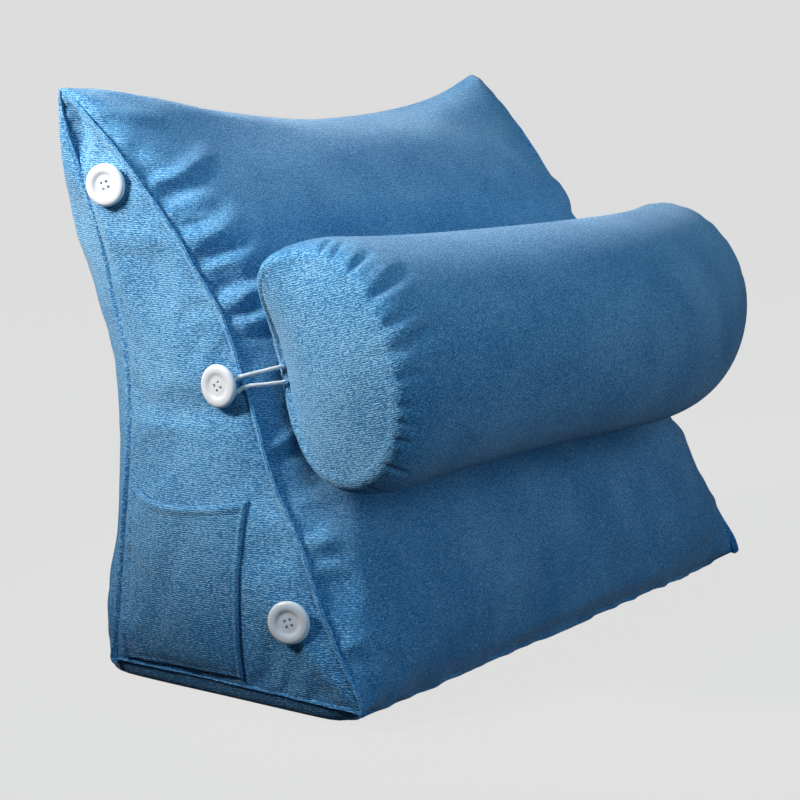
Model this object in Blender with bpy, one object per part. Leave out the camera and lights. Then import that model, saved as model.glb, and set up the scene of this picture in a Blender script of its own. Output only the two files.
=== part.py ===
# A triangular backrest cushion with a bolster that is held across its slope by elastic loops.
# Units are metres and +Z is up. +X runs along the cushion's width, -Y is the side that a back
# leans on, and the origin lies on the floor under the middle of the base.

from math import cos, pi, sin

import bmesh
import bpy
import numpy as np
from mathutils import Matrix, Vector
from mathutils.bvhtree import BVHTree

# Driving sizes of the wedge
SIDE_REACH = 0.300          # half of the width, measured at the foot of a side seam
LIP_HEIGHT = 0.0045         # how far the pinched seam stands up
LIP_THICKNESS = 0.0026      # two layers of plush
SIDE_CROWN = 0.013          # how far the middle of a side panel stands out from its seam
SIDE_CROWN_POWER = 0.8      # under 1 it stands up steeply at the seam
SIDE_CENTRE = (0.045, 0.150)        # y and z of that middle
SAG_POWERS = {-1: 1.25, 1: 2.1}     # how the top edge sags towards its left and right ears
LIP_OUT, LIP_OVER = 0.80, 0.60      # the lip's lean, out of the body and over its side

# Columns: point of the outline, seam y, seam z, middle y, middle z, reach of the crown, quick
# share of the crown across the outline and up, points up to the next row. The outline runs up
# the slope, over the top, down the back and along the base. The middle is the section half way
# along the width. The quick share is reached within the reach, and the rest comes slowly.
OUTLINE = (
    ("front foot",      -0.1200, 0.0100, -0.1040, 0.0035, 0.030, 0.9, 0.9, 2),
    ("foot, upper",     -0.1190, 0.0240, -0.1190, 0.0190, 0.060, 0.9, 0.9, 3),
    ("shin",            -0.1020, 0.0490, -0.1150, 0.0540, 0.070, 0.9, 0.9, 3),
    ("low slope",       -0.0860, 0.0750, -0.1020, 0.0840, 0.070, 0.9, 0.9, 4),
    ("under bolster",   -0.0620, 0.1200, -0.0810, 0.1310, 0.070, 0.9, 0.9, 4),
    ("bolster, low",    -0.0300, 0.1700, -0.0490, 0.1810, 0.070, 0.9, 0.9, 5),
    ("bolster, middle", -0.0010, 0.2330, -0.0190, 0.2440, 0.070, 0.9, 0.9, 5),
    ("bolster, high",    0.0220, 0.2820,  0.0030, 0.2930, 0.070, 0.9, 0.9, 4),
    ("over bolster",     0.0470, 0.3170,  0.0280, 0.3290, 0.070, 0.9, 0.9, 4),
    ("high slope",       0.0640, 0.3420,  0.0460, 0.3530, 0.070, 0.9, 0.9, 7),
    ("brow",             0.1030, 0.3910,  0.0900, 0.3960, 0.080, 0.8, 0.6, 5),
    ("below ear",        0.1465, 0.4335,  0.1240, 0.4155, 0.090, 0.7, 0.0, 3),
    ("ear",              0.1700, 0.4530,  0.1540, 0.4205, 0.090, 0.4, 0.0, 3),
    ("behind ear",       0.1700, 0.4350,  0.1800, 0.4130, 0.070, 0.8, 0.0, 3),
    ("high back",        0.1640, 0.4030,  0.1960, 0.3880, 0.060, 0.9, 0.5, 3),
    ("upper back",       0.1480, 0.3500,  0.1980, 0.3400, 0.050, 0.9, 0.9, 3),
    ("middle back",      0.1350, 0.2950,  0.1860, 0.2850, 0.050, 0.9, 0.9, 3),
    ("waist",            0.1210, 0.2450,  0.1720, 0.2360, 0.050, 0.9, 0.9, 3),
    ("lower back",       0.1150, 0.1900,  0.1620, 0.1880, 0.050, 0.9, 0.9, 3),
    ("low back",         0.1140, 0.1200,  0.1540, 0.1200, 0.050, 0.9, 0.9, 3),
    ("heel, upper",      0.1160, 0.0500,  0.1520, 0.0480, 0.045, 0.9, 0.9, 2),
    ("heel",             0.1190, 0.0240,  0.1460, 0.0180, 0.040, 0.9, 0.9, 2),
    ("rear foot",        0.1190, 0.0100,  0.1380, 0.0040, 0.030, 0.9, 0.9, 2),
    ("base, rear",       0.1040, 0.0110,  0.1220, 0.0000, 0.009, 1.0, 1.0, 2),
    ("base, middle",     0.0100, 0.0110,  0.0100, 0.0000, 0.009, 1.0, 1.0, 2),
    ("base, front",     -0.0980, 0.0105, -0.0940, 0.0000, 0.009, 1.0, 1.0, 2),
)

# Columns: height on the side seam, how far the filling draws the seam in from SIDE_REACH
DRAW_IN = (
    (0.000, 0.0005), (0.045, 0.0025), (0.088, 0.0060), (0.132, 0.0110), (0.190, 0.0185),
    (0.230, 0.0230), (0.280, 0.0245), (0.317, 0.0240), (0.342, 0.0220), (0.391, 0.0170),
    (0.430, 0.0130), (0.453, 0.0115),
)
# Distances from the seam at which the body has a row of points
ROWS = (0.0012, 0.005, 0.013, 0.024, 0.040, 0.062, 0.098, 0.150, 0.210, 0.255)
# Sizes of the rings on a side panel, as shares of its outline
SIDE_RINGS = (0.94, 0.84, 0.68, 0.46, 0.22)

# Columns: side, height where the fold leaves the side seam, length, rise, depth
FOLDS = (
    (-1, 0.376, 0.075, 0.020, 0.0030), (-1, 0.346, 0.050, 0.010, 0.0035),
    (-1, 0.318, 0.060, 0.014, 0.0040), (-1, 0.296, 0.085, 0.022, 0.0045),
    (-1, 0.270, 0.070, 0.018, 0.0040), (-1, 0.158, 0.030, 0.006, 0.0025),
    (1, 0.384, 0.060, 0.014, 0.0030), (1, 0.355, 0.070, 0.020, 0.0040),
    (1, 0.322, 0.055, 0.012, 0.0035), (1, 0.288, 0.080, 0.020, 0.0045),
    (1, 0.262, 0.060, 0.014, 0.0035), (1, 0.140, 0.035, 0.008, 0.0025),
)
FOLD_WIDTH = 0.0085
FOLD_START_WIDTH, FOLD_WIDENING = 0.7, 0.5      # a fold's width over FOLD_WIDTH, at its start and added
FOLD_START = 0.22           # share of the fold's sine wave that is past when it leaves the seam

# The slope's frame, in which the bolster is placed: a point of it, and the ways down and out
SLOPE_POINT = Vector((0.0, 0.0, 0.235))
SLOPE_DOWN = Vector((0.0, -0.484, -0.875)).normalized()
SLOPE_OUT = Vector((0.0, -0.875, 0.484)).normalized()

# Columns: share of the length, middle's distance out of the slope, distance down it, radius
BOLSTER = (
    (-1.0, 0.0790, 0.0185, 0.0960),
    (-0.5, 0.0938, 0.0280, 0.0900),
    (0.0, 0.0995, 0.0335, 0.0900),
    (0.5, 0.0872, 0.0316, 0.0918),
    (1.0, 0.0593, 0.0000, 0.0777),
)
BOLSTER_LEFT = -0.279
BOLSTER_RIGHT = 0.298
BOLSTER_FLATNESS = 0.23     # the loops press it against the slope
BOLSTER_SHEAR = 0.25        # its front is longer than its rear, which bends round the crown
BOLSTER_TURN = 0.06         # and its lower side is a little longer than its upper one
BOLSTER_STATIONS = 23
BOLSTER_SIDES = 44
END_CROWN = 0.016
END_ROUND = 0.026           # length over which the tube rolls into an end panel
END_SHARE = 0.90            # end panel's radius over the tube's
END_ROUND_POWER = 2.4
END_RINGS = (0.90, 0.66, 0.34)
# Columns: place round an end's edge in degrees, from its lowest point over its front, spread,
# how far the edge is pushed out there, or drawn in by the loop
END_EDGE = ((214.0, 22.0, 0.006), (262.0, 30.0, -0.008))
END_EDGE_LENGTH = 0.080
GATHERS = 17
GATHER_DEPTH = 0.0022
GATHER_LENGTH = 0.045
GATHER_START = 0.004        # the cloth is flat for this far from the seam
GATHER_FADE_POWER = 1.3
GATHER_SWAY, GATHER_SWAY_WAVES = 0.9, 3     # the gathers aren't evenly spread round the end

# Buttons and their thread shanks
BUTTON_RADIUS = 0.0162
BUTTON_THICKNESS = 0.0050
BUTTON_RIM = 0.0022         # how far the rounding of its rim reaches in
BUTTON_RIM_STEPS = 3
BUTTON_DISH = 0.0090        # radius of the dish at the middle of its wall
BUTTON_DISH_WALL = 0.0007   # half of that wall's width
BUTTON_DISH_DEPTH = 0.0012
BUTTON_HOLES = 4
BUTTON_HOLE = 0.0011
BUTTON_HOLE_RING = 0.0031
BUTTON_HOLE_TURN = -8.0     # degrees, from upright towards the back
BUTTON_HOLE_SIDES = 6
BUTTON_SIDES = 24
BUTTON_STEM_SIDES = 10
SHANK_RADIUS = 0.0023
# Columns: name, y, z, shank length, turn of its face towards the slope in degrees
BUTTONS = (
    ("top", 0.1240, 0.3780, 0.0026, 16.0),
    ("middle", 0.0172, 0.2352, 0.0046, 0.0),
    ("bottom", -0.0590, 0.0732, 0.0026, 17.0),
)

# Elastic loops
LOOP_RADIUS = 0.0016
LOOP_SPREAD = 0.0050        # half of the distance between its strands
LOOP_SEATS = {1: 31, -1: 32}    # points of the end's edge where its strands are sewn in
LOOP_CLEARANCE = 0.0026     # from the middle of the elastic to the cloth
LOOP_STEPS = 4
LOOP_OVER_SPREAD = 0.75     # the strands' spread over the seam's lip, as a share of LOOP_SPREAD
LOOP_OVER_RISE = 0.003      # how far above the button's height they cross the lip
LOOP_ASIDE = 0.55           # the strands are this share of the way from the shank to the lip
LOOP_ASIDE_SPREAD = 1.05    # when their spread is this much of the hook's radius

# Pocket, on the left side panel only
POCKET_THICKNESS = 0.0020
POCKET_FULLNESS = 0.0105    # room between the pocket and the panel, at the middle of the mouth
POCKET_ACROSS_POWER, POCKET_UP_POWER = 0.55, 0.6    # how steeply it stands up at its seams
POCKET_SAG = 0.006          # how far the mouth sags below its corners
# The pocket's corners on the panel, y and z
POCKET_TOP_LEFT = (0.0985, 0.1510)
POCKET_TOP_RIGHT = (-0.0130, 0.1540)
POCKET_FOOT_RIGHT = (-0.0130, 0.0215)
POCKET_FOOT_LEFT = (0.1040, 0.0185)
POCKET_COLUMNS = 14
POCKET_ROWS = 10

GAP = 0.0003                # between neighbouring pieces
SOFT_GAP = 0.0006           # the same, where both surfaces are curved
WELD = 0.00001
SEARCH_WIDTH = 0.50         # how far from the middle a search for a side panel starts
SEARCH_HEIGHT = 0.30        # how far off the slope a search for its surface starts
SEARCH_REACH = 0.006        # how far round a place that search looks

PLUSH_BLUE = (0.055, 0.200, 0.420, 1.0)
BUTTON_WHITE = (0.820, 0.840, 0.860, 1.0)
ELASTIC_WHITE = (0.780, 0.790, 0.800, 1.0)


def clear_scene():
    for item in list(bpy.data.objects):
        bpy.data.objects.remove(item, do_unlink=True)


def move_to(item, collection):
    for holder in list(item.users_collection):
        holder.objects.unlink(item)
    collection.objects.link(item)


def new_material(name, colour, roughness):
    material = bpy.data.materials.new(name)
    material.use_nodes = True
    shader = material.node_tree.nodes["Principled BSDF"]
    shader.inputs["Base Color"].default_value = colour
    shader.inputs["Roughness"].default_value = roughness
    shader.inputs["Metallic"].default_value = 0.0
    return material


def smooth_value(table, place):
    """Value of a table's second column at a place in its first, on a smooth curve."""
    places = np.array([row[0] for row in table])
    values = np.array([row[1] for row in table])
    slopes = np.gradient(values, places)
    place = min(max(place, places[0]), places[-1])
    i = min(int(np.searchsorted(places, place, side="right")) - 1, len(places) - 2)
    step = places[i + 1] - places[i]
    u = (place - places[i]) / step
    start = (2 * u**3 - 3 * u**2 + 1) * values[i] + (u**3 - 2 * u**2 + u) * step * slopes[i]
    end = (3 * u**2 - 2 * u**3) * values[i + 1] + (u**3 - u**2) * step * slopes[i + 1]
    return float(start + end)


def catmull_rom(before, start, end, after, u):
    return 0.5 * (2 * start + (end - before) * u + (2 * before - 5 * start + 4 * end - after) * u**2
                  + (3 * start - before - 3 * end + after) * u**3)


def outline_points():
    """Points round the section: seam y and z, middle y and z, reach and quick shares."""
    rows = np.array([row[1:8] for row in OUTLINE])
    count = len(rows)
    points = []
    for i, row in enumerate(OUTLINE):
        steps = row[8]
        neighbours = [rows[(i + k) % count] for k in (-1, 0, 1, 2)]
        for step in range(steps):
            points.append(catmull_rom(*neighbours, step / steps))
    points = np.array(points)
    points[:, 3] = np.maximum(points[:, 3], 0.0)
    points[:, 5:7] = np.clip(points[:, 5:7], 0.0, 1.0)
    return points


def crown_shares(side, distance, reach, quick_across, quick_up, half_width):
    """How much of the middle's crown a panel has at a distance from its side seam."""
    near = min(distance / reach, 1.0)
    quick = (1.0 - (1.0 - near)**2)**0.5
    slow = 1.0 - (1.0 - min(distance / half_width, 1.0))**SAG_POWERS[side]
    return tuple(part * quick + (1.0 - part) * slow for part in (quick_across, quick_up))


def seam_reach(height):
    return SIDE_REACH - smooth_value(DRAW_IN, height)


def fold_depth(side, distance, height, on_slope):
    """Depth of the cloth's main folds, which run in from the slope's side seams."""
    if not on_slope:
        return 0.0
    depth = 0.0
    for fold_side, start, length, rise, deepest in FOLDS:
        if fold_side != side or distance > length:
            continue
        share = distance / length
        middle = start + rise * share
        across = (height - middle) / (FOLD_WIDTH * (FOLD_START_WIDTH + FOLD_WIDENING * share))
        along = sin(pi * (FOLD_START + (1.0 - FOLD_START) * share))
        depth += deepest * along * np.exp(-across**2)
    return depth


def outline_normals(points):
    """Outward direction of the seam's outline at each of its points."""
    seam = points[:, 0:2]
    along = np.roll(seam, -1, axis=0) - np.roll(seam, 1, axis=0)
    along /= np.linalg.norm(along, axis=1)[:, None]
    return np.stack([-along[:, 1], along[:, 0]], axis=1)


def seam_foot(point, normal):
    """Where the cloth leaves the lip: reach, y and z just inside the seam's edge."""
    reach = seam_reach(point[1]) - LIP_OVER * LIP_HEIGHT
    return reach, point[0] - normal[0] * LIP_OUT * LIP_HEIGHT, point[1] - normal[1] * LIP_OUT * LIP_HEIGHT


def body_ring(points, normals, side, distance):
    """One row of the body at a distance from a side seam."""
    ring = []
    ear = max(range(len(points)), key=lambda i: points[i][1])
    for i, point in enumerate(points):
        _, _, middle_y, middle_z, reach, quick_across, quick_up = point
        half_width, foot_y, foot_z = seam_foot(point, normals[i])
        across, up = crown_shares(side, distance, reach, quick_across, quick_up, half_width)
        y = foot_y + (middle_y - foot_y) * across
        z = foot_z + (middle_z - foot_z) * up
        depth = fold_depth(side, distance, z, 0 < i < ear)
        y -= normals[i][0] * depth
        z -= normals[i][1] * depth
        ring.append((side * (half_width - distance), y, z))
    return ring


def lip_rings(points, normals, side):
    """Four rows that raise the pinched seam: foot and tip on the body, tip and foot on the side."""
    rows = [[], [], [], []]
    for point, (normal_y, normal_z) in zip(points, normals):
        reach, foot_y, foot_z = seam_foot(point, (normal_y, normal_z))
        foot = Vector((side * reach, foot_y, foot_z))
        up = Vector((side * LIP_OVER, LIP_OUT * normal_y, LIP_OUT * normal_z))
        across = Vector((-side * LIP_OUT, LIP_OVER * normal_y, LIP_OVER * normal_z))
        across *= LIP_THICKNESS / 2
        tip = foot + up * LIP_HEIGHT
        for row, place in zip(rows, (foot + across, tip + across, tip - across, foot - across)):
            row.append(place)
    return rows


def side_height(share):
    return SIDE_CROWN * (1.0 - share**2)**SIDE_CROWN_POWER


def side_ring(points, normals, side, share):
    """One ring of a side panel, drawn towards its middle."""
    ring = []
    for point, normal in zip(points, normals):
        _, foot_y, foot_z = seam_foot(point, normal)
        y = SIDE_CENTRE[0] + (foot_y - SIDE_CENTRE[0]) * share
        z = SIDE_CENTRE[1] + (foot_z - SIDE_CENTRE[1]) * share
        reach = seam_reach(z) - LIP_OVER * LIP_HEIGHT + side_height(share)
        ring.append((side * reach, y, z))
    return ring


def skin_rings(rings, first_pole, last_pole):
    """A closed mesh over rings of equally many points, with a point at each end."""
    shell = bmesh.new()
    rows = [[shell.verts.new(place) for place in ring] for ring in rings]
    for here, there in zip(rows[:-1], rows[1:]):
        for i in range(len(here)):
            k = (i + 1) % len(here)
            shell.faces.new((here[i], here[k], there[k], there[i]))
    for row, place in ((rows[0], first_pole), (rows[-1], last_pole)):
        pole = shell.verts.new(place)
        for i in range(len(row)):
            shell.faces.new((row[i], row[(i + 1) % len(row)], pole))
    bmesh.ops.recalc_face_normals(shell, faces=shell.faces)
    bmesh.ops.triangulate(shell, faces=shell.faces)
    return shell


def add_mesh_object(name, shell, material, collection):
    mesh = bpy.data.meshes.new(name)
    shell.to_mesh(mesh)
    shell.free()
    mesh.materials.append(material)
    mesh.shade_smooth()
    item = bpy.data.objects.new(name, mesh)
    collection.objects.link(item)
    return item


def build_wedge(material, collection):
    points = outline_points()
    normals = outline_normals(points)
    rings = []
    for side in (-1, 1):
        half = [side_ring(points, normals, side, share) for share in reversed(SIDE_RINGS)]
        half += list(reversed(lip_rings(points, normals, side)))
        half += [body_ring(points, normals, side, distance) for distance in ROWS]
        if side < 0:
            rings += half
            middle = [(0.0, row[2], row[3]) for row in points]
            rings.append(middle)
        else:
            rings += list(reversed(half))
    pole = seam_reach(SIDE_CENTRE[1]) - LIP_OVER * LIP_HEIGHT + SIDE_CROWN
    shell = skin_rings(rings, (-pole, *SIDE_CENTRE), (pole, *SIDE_CENTRE))
    return add_mesh_object("wedge_cushion", shell, material, collection)


def surface_tree(item):
    mesh = item.data
    corners = [vertex.co.copy() for vertex in mesh.vertices]
    faces = [tuple(face.vertices) for face in mesh.polygons]
    return BVHTree.FromPolygons(corners, faces)


def slope_height(tree, place):
    """How far the slope's cloth stands out of the slope's frame, at most, round a place."""
    offset = (place - SLOPE_POINT).dot(SLOPE_OUT)
    above = place + SLOPE_OUT * (SEARCH_HEIGHT - offset)
    highest = -SEARCH_HEIGHT
    for along, down in ((0, 0), (-1, 0), (1, 0), (0, -1), (0, 1)):
        start = above + Vector((along * SEARCH_REACH, 0, 0)) + SLOPE_DOWN * down * SEARCH_REACH
        hit = tree.ray_cast(start, -SLOPE_OUT, SEARCH_HEIGHT + SEARCH_REACH)
        if hit[0] is not None:
            highest = max(highest, (hit[0] - SLOPE_POINT).dot(SLOPE_OUT))
    return highest


def bolster_value(column, t):
    knots = [row[0] for row in BOLSTER]
    values = [row[column] for row in BOLSTER]
    return float(np.polyval(np.polyfit(knots, values, len(knots) - 1), t))


def edge_push(angle, from_end):
    """How far an end's edge bulges past its plane at a place round it."""
    fade = max(0.0, 1.0 - from_end / END_EDGE_LENGTH)**2
    turn = angle * 180 / pi
    return fade * sum(push * np.exp(-((turn - place) / spread)**2) for place, spread, push in END_EDGE)


def bolster_ring(t, tree):
    """One row of the bolster's tube, flat at the rear where the slope carries it."""
    middle_x = (BOLSTER_LEFT + BOLSTER_RIGHT) / 2
    half_length = (BOLSTER_RIGHT - BOLSTER_LEFT) / 2
    centre = SLOPE_POINT + SLOPE_OUT * bolster_value(1, t) + SLOPE_DOWN * bolster_value(2, t)
    centre.x = middle_x + half_length * t
    radius = bolster_value(3, t)
    from_end = half_length * (1.0 - abs(t))
    rolled = max(0.0, 1.0 - from_end / END_ROUND)
    radius *= 1.0 - (1.0 - END_SHARE) * (1.0 - (1.0 - rolled**END_ROUND_POWER)**0.5)
    gathered = max(0.0, 1.0 - from_end / GATHER_LENGTH)**GATHER_FADE_POWER
    gathered *= min(1.0, from_end / GATHER_START)
    ring = []
    for i in range(BOLSTER_SIDES):
        angle = 2 * pi * i / BOLSTER_SIDES
        wave = 0.5 + 0.5 * cos(GATHERS * angle + GATHER_SWAY * sin(GATHER_SWAY_WAVES * angle))
        reach = radius - GATHER_DEPTH * gathered * wave
        down, out = reach * cos(angle), reach * sin(angle) * (1.0 - BOLSTER_FLATNESS)
        place = centre + SLOPE_DOWN * down + SLOPE_OUT * out
        place.x += t * abs(t) * (BOLSTER_SHEAR * out + BOLSTER_TURN * down)
        place.x += edge_push(angle, from_end) * (1 if t > 0 else -1)
        rest = slope_height(tree, place) + SOFT_GAP
        offset = (place - SLOPE_POINT).dot(SLOPE_OUT)
        if offset < rest:
            place += SLOPE_OUT * (rest - offset)
        ring.append(place)
    return ring


def end_rings(edge, side):
    """Rings of an end panel, drawn from its edge to its middle with a low crown."""
    middle = sum(edge, Vector()) / len(edge)
    rings = []
    for share in END_RINGS:
        lift = END_CROWN * (1.0 - share**2)
        rings.append([middle.lerp(place, share) + Vector((side * lift, 0.0, 0.0)) for place in edge])
    pole = middle + Vector((side * END_CROWN, 0.0, 0.0))
    return rings, pole


def build_bolster(tree, material, collection):
    shares = [sin(pi / 2 * (2 * i / (BOLSTER_STATIONS - 1) - 1)) for i in range(BOLSTER_STATIONS)]
    tube = [bolster_ring(t, tree) for t in shares]
    left, left_pole = end_rings(tube[0], -1)
    right, right_pole = end_rings(tube[-1], 1)
    shell = skin_rings(list(reversed(left)) + tube + right, left_pole, right_pole)
    return add_mesh_object("bolster", shell, material, collection)


def panel_reach(tree, side, y, z):
    """How far out a side panel's cloth lies at a place on it."""
    hit = tree.ray_cast(Vector((side * SEARCH_WIDTH, y, z)), Vector((-side, 0.0, 0.0)), SEARCH_WIDTH)
    return abs(hit[0].x)


def shank_foot(tree, side, y, z, facing):
    """Where a shank's end face meets the panel's cloth without cutting into it."""
    middle = Vector((side * panel_reach(tree, side, y, z), y, z))
    upright = Vector((0.0, 0.0, 1.0))
    sideways = facing.cross(upright)
    highest = 0.0
    for i in range(BUTTON_STEM_SIDES):
        angle = 2 * pi * i / BUTTON_STEM_SIDES
        rim = (sideways * cos(angle) + upright * sin(angle)) * SHANK_RADIUS
        hit = tree.ray_cast(middle + rim + facing * SEARCH_REACH, -facing, 2 * SEARCH_REACH)
        if hit[0] is not None:
            highest = max(highest, (hit[0] - middle).dot(facing))
    return middle + facing * highest


def button_mesh(material, collection, cutters):
    """One turned button with a rounded rim, a dish and four holes."""
    half = BUTTON_THICKNESS / 2
    floor = half - BUTTON_DISH_DEPTH
    profile = [(0.0, floor), (BUTTON_DISH - BUTTON_DISH_WALL, floor), (BUTTON_DISH + BUTTON_DISH_WALL, half)]
    for step in range(BUTTON_RIM_STEPS + 1):
        angle = pi / 2 - pi * step / BUTTON_RIM_STEPS
        profile.append((BUTTON_RADIUS - BUTTON_RIM + BUTTON_RIM * cos(angle), half * sin(angle)))
    profile.append((0.0, -half))
    shell = bmesh.new()
    points = [shell.verts.new((radius, 0.0, height)) for radius, height in profile]
    for here, there in zip(points[:-1], points[1:]):
        shell.edges.new((here, there))
    bmesh.ops.spin(shell, geom=shell.verts[:] + shell.edges[:], cent=(0, 0, 0), axis=(0, 0, 1),
                   angle=2 * pi, steps=BUTTON_SIDES, use_merge=True)
    bmesh.ops.remove_doubles(shell, verts=shell.verts, dist=WELD)
    bmesh.ops.recalc_face_normals(shell, faces=shell.faces)
    blank = add_mesh_object("button_blank", shell, material, collection)
    for i in range(BUTTON_HOLES):
        angle = 2 * pi * i / BUTTON_HOLES + BUTTON_HOLE_TURN * pi / 180
        place = (BUTTON_HOLE_RING * cos(angle), BUTTON_HOLE_RING * sin(angle), 0.0)
        bpy.ops.mesh.primitive_cylinder_add(vertices=BUTTON_HOLE_SIDES, radius=BUTTON_HOLE,
                                            depth=3 * BUTTON_THICKNESS, location=place)
        cutter = bpy.context.object
        cutter.name = f"button_hole_{i}"
        cutter.hide_render = True
        cutter.display_type = "WIRE"
        move_to(cutter, cutters)
        cut = blank.modifiers.new(f"hole_{i}", "BOOLEAN")
        cut.operation = "DIFFERENCE"
        cut.object = cutter
    bpy.context.view_layer.update()
    graph = bpy.context.evaluated_depsgraph_get()
    mesh = bpy.data.meshes.new_from_object(blank.evaluated_get(graph))
    mesh.name = "button"
    bpy.data.objects.remove(blank, do_unlink=True)
    return mesh


def build_buttons(tree, plastic, thread, collection, cutters):
    mesh = button_mesh(plastic, collection, cutters)
    for side, side_name in ((-1, "left"), (1, "right")):
        for name, y, z, shank, turn in BUTTONS:
            facing = Vector((side * cos(turn * pi / 180), -sin(turn * pi / 180), 0.0))
            foot = shank_foot(tree, side, y, z, facing)
            lean = Vector((0, 0, 1)).rotation_difference(facing).to_matrix().to_4x4()
            centre = foot + facing * (GAP + shank + GAP + BUTTON_THICKNESS / 2)
            button = bpy.data.objects.new(f"button_{side_name}_{name}", mesh)
            button.matrix_world = Matrix.Translation(centre) @ lean
            collection.objects.link(button)
            bpy.ops.mesh.primitive_cylinder_add(vertices=BUTTON_STEM_SIDES, radius=SHANK_RADIUS,
                                                depth=shank)
            stem = bpy.context.object
            stem.name = f"thread_{side_name}_{name}"
            stem.data.materials.append(thread)
            stem.matrix_world = Matrix.Translation(foot + facing * (GAP + shank / 2)) @ lean
            move_to(stem, collection)


def pocket_place(across, up):
    """Place on the side panel, from the pocket's four corners."""
    foot = np.array(POCKET_FOOT_LEFT) * (1 - across) + np.array(POCKET_FOOT_RIGHT) * across
    mouth = np.array(POCKET_TOP_LEFT) * (1 - across) + np.array(POCKET_TOP_RIGHT) * across
    y, z = foot * (1 - up) + mouth * up
    z -= POCKET_SAG * sin(pi * across) * up
    return float(y), float(z)


def build_pocket(tree, material, collection):
    """A patch with its mouth open at the top and room inside, held at its foot and its sides."""
    shell = bmesh.new()
    layers = []
    for thickness in (0.0, POCKET_THICKNESS):
        grid = []
        for row in range(POCKET_ROWS + 1):
            up = row / POCKET_ROWS
            line = []
            for column in range(POCKET_COLUMNS + 1):
                across = column / POCKET_COLUMNS
                y, z = pocket_place(across, up)
                room = POCKET_FULLNESS * sin(pi / 2 * up)**POCKET_UP_POWER
                room *= abs(sin(pi * across))**POCKET_ACROSS_POWER
                reach = panel_reach(tree, -1, y, z) + SOFT_GAP + room + thickness
                line.append(shell.verts.new((-reach, y, z)))
            grid.append(line)
        layers.append(grid)
    inner, outer = layers
    for grid in layers:
        for row in range(POCKET_ROWS):
            for column in range(POCKET_COLUMNS):
                shell.faces.new((grid[row][column], grid[row][column + 1],
                                 grid[row + 1][column + 1], grid[row + 1][column]))
    for row in range(POCKET_ROWS):
        for column in (0, POCKET_COLUMNS):
            shell.faces.new((inner[row][column], inner[row + 1][column],
                             outer[row + 1][column], outer[row][column]))
    for column in range(POCKET_COLUMNS):
        for row in (0, POCKET_ROWS):
            shell.faces.new((inner[row][column], inner[row][column + 1],
                             outer[row][column + 1], outer[row][column]))
    bmesh.ops.recalc_face_normals(shell, faces=shell.faces)
    bmesh.ops.triangulate(shell, faces=shell.faces)
    return add_mesh_object("pocket", shell, material, collection)


def seam_edge_place(points, side, height):
    """The edge of the slope's seam lip at a height."""
    ear = max(range(len(points)), key=lambda i: points[i][1])
    slope = [tuple(point[0:2]) for point in points[:ear]]
    y = np.interp(height, [place[1] for place in slope], [place[0] for place in slope])
    return Vector((side * seam_reach(height), float(y), height))


def off_the_cloth(tree, place):
    """A point of a loop's route, moved out to where the elastic clears the cloth."""
    surface, facing, _, _ = tree.find_nearest(place)
    height = (place - surface).dot(facing)
    if height < LOOP_CLEARANCE:
        return place + facing * (LOOP_CLEARANCE - height)
    return place


def loop_strand(tree, points, side, sign):
    """Half of a loop: from its seat on the bolster, over the seam's lip, to the button's shank."""
    _, y, z, shank, _ = BUTTONS[1]
    clear = LOOP_RADIUS + SOFT_GAP
    hook = SHANK_RADIUS + clear
    reach = panel_reach(tree, side, y, z) + GAP + shank / 2
    end_edge = bolster_ring(float(side), tree)
    seat = end_edge[LOOP_SEATS[sign]]
    start = off_the_cloth(tree, seat + Vector((side * (clear + SOFT_GAP), 0.0, 0.0)))
    edge = seam_edge_place(points, side, z + sign * LOOP_OVER_SPREAD * LOOP_SPREAD + LOOP_OVER_RISE)
    over = edge + Vector((side * LIP_OVER, *(SLOPE_OUT.yz * LIP_OUT))) * clear
    aside_y = y + LOOP_ASIDE * (over.y - y)
    aside = Vector((side * reach, aside_y, z + sign * hook * LOOP_ASIDE_SPREAD))
    return [start, start.lerp(over, 0.5), over, aside, Vector((side * reach, y, z + sign * hook))]


def build_loop(tree, side, name, material, collection):
    points = outline_points()
    _, y, z, _, _ = BUTTONS[1]
    upper = loop_strand(tree, points, side, 1)
    lower = loop_strand(tree, points, side, -1)
    hook = upper[-1].z - z
    bend = [Vector((upper[-1].x, y + hook * sin(pi * i / 4), z + hook * cos(pi * i / 4)))
            for i in (1, 2, 3)]
    route = upper + bend + list(reversed(lower))
    route = [route[0]] + route + [route[-1]]
    path = []
    for before, start, end, after in zip(route[:-3], route[1:-2], route[2:-1], route[3:]):
        for step in range(LOOP_STEPS):
            place = catmull_rom(before, start, end, after, step / LOOP_STEPS)
            path.append(off_the_cloth(tree, place))
    path.append(route[-1])
    curve = bpy.data.curves.new(name, "CURVE")
    curve.dimensions = "3D"
    curve.bevel_depth = LOOP_RADIUS
    curve.bevel_resolution = 2
    curve.use_fill_caps = True
    spline = curve.splines.new("POLY")
    spline.points.add(len(path) - 1)
    for point, place in zip(spline.points, path):
        point.co = (*place, 1.0)
    curve.materials.append(material)
    loop = bpy.data.objects.new(name, curve)
    collection.objects.link(loop)


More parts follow.
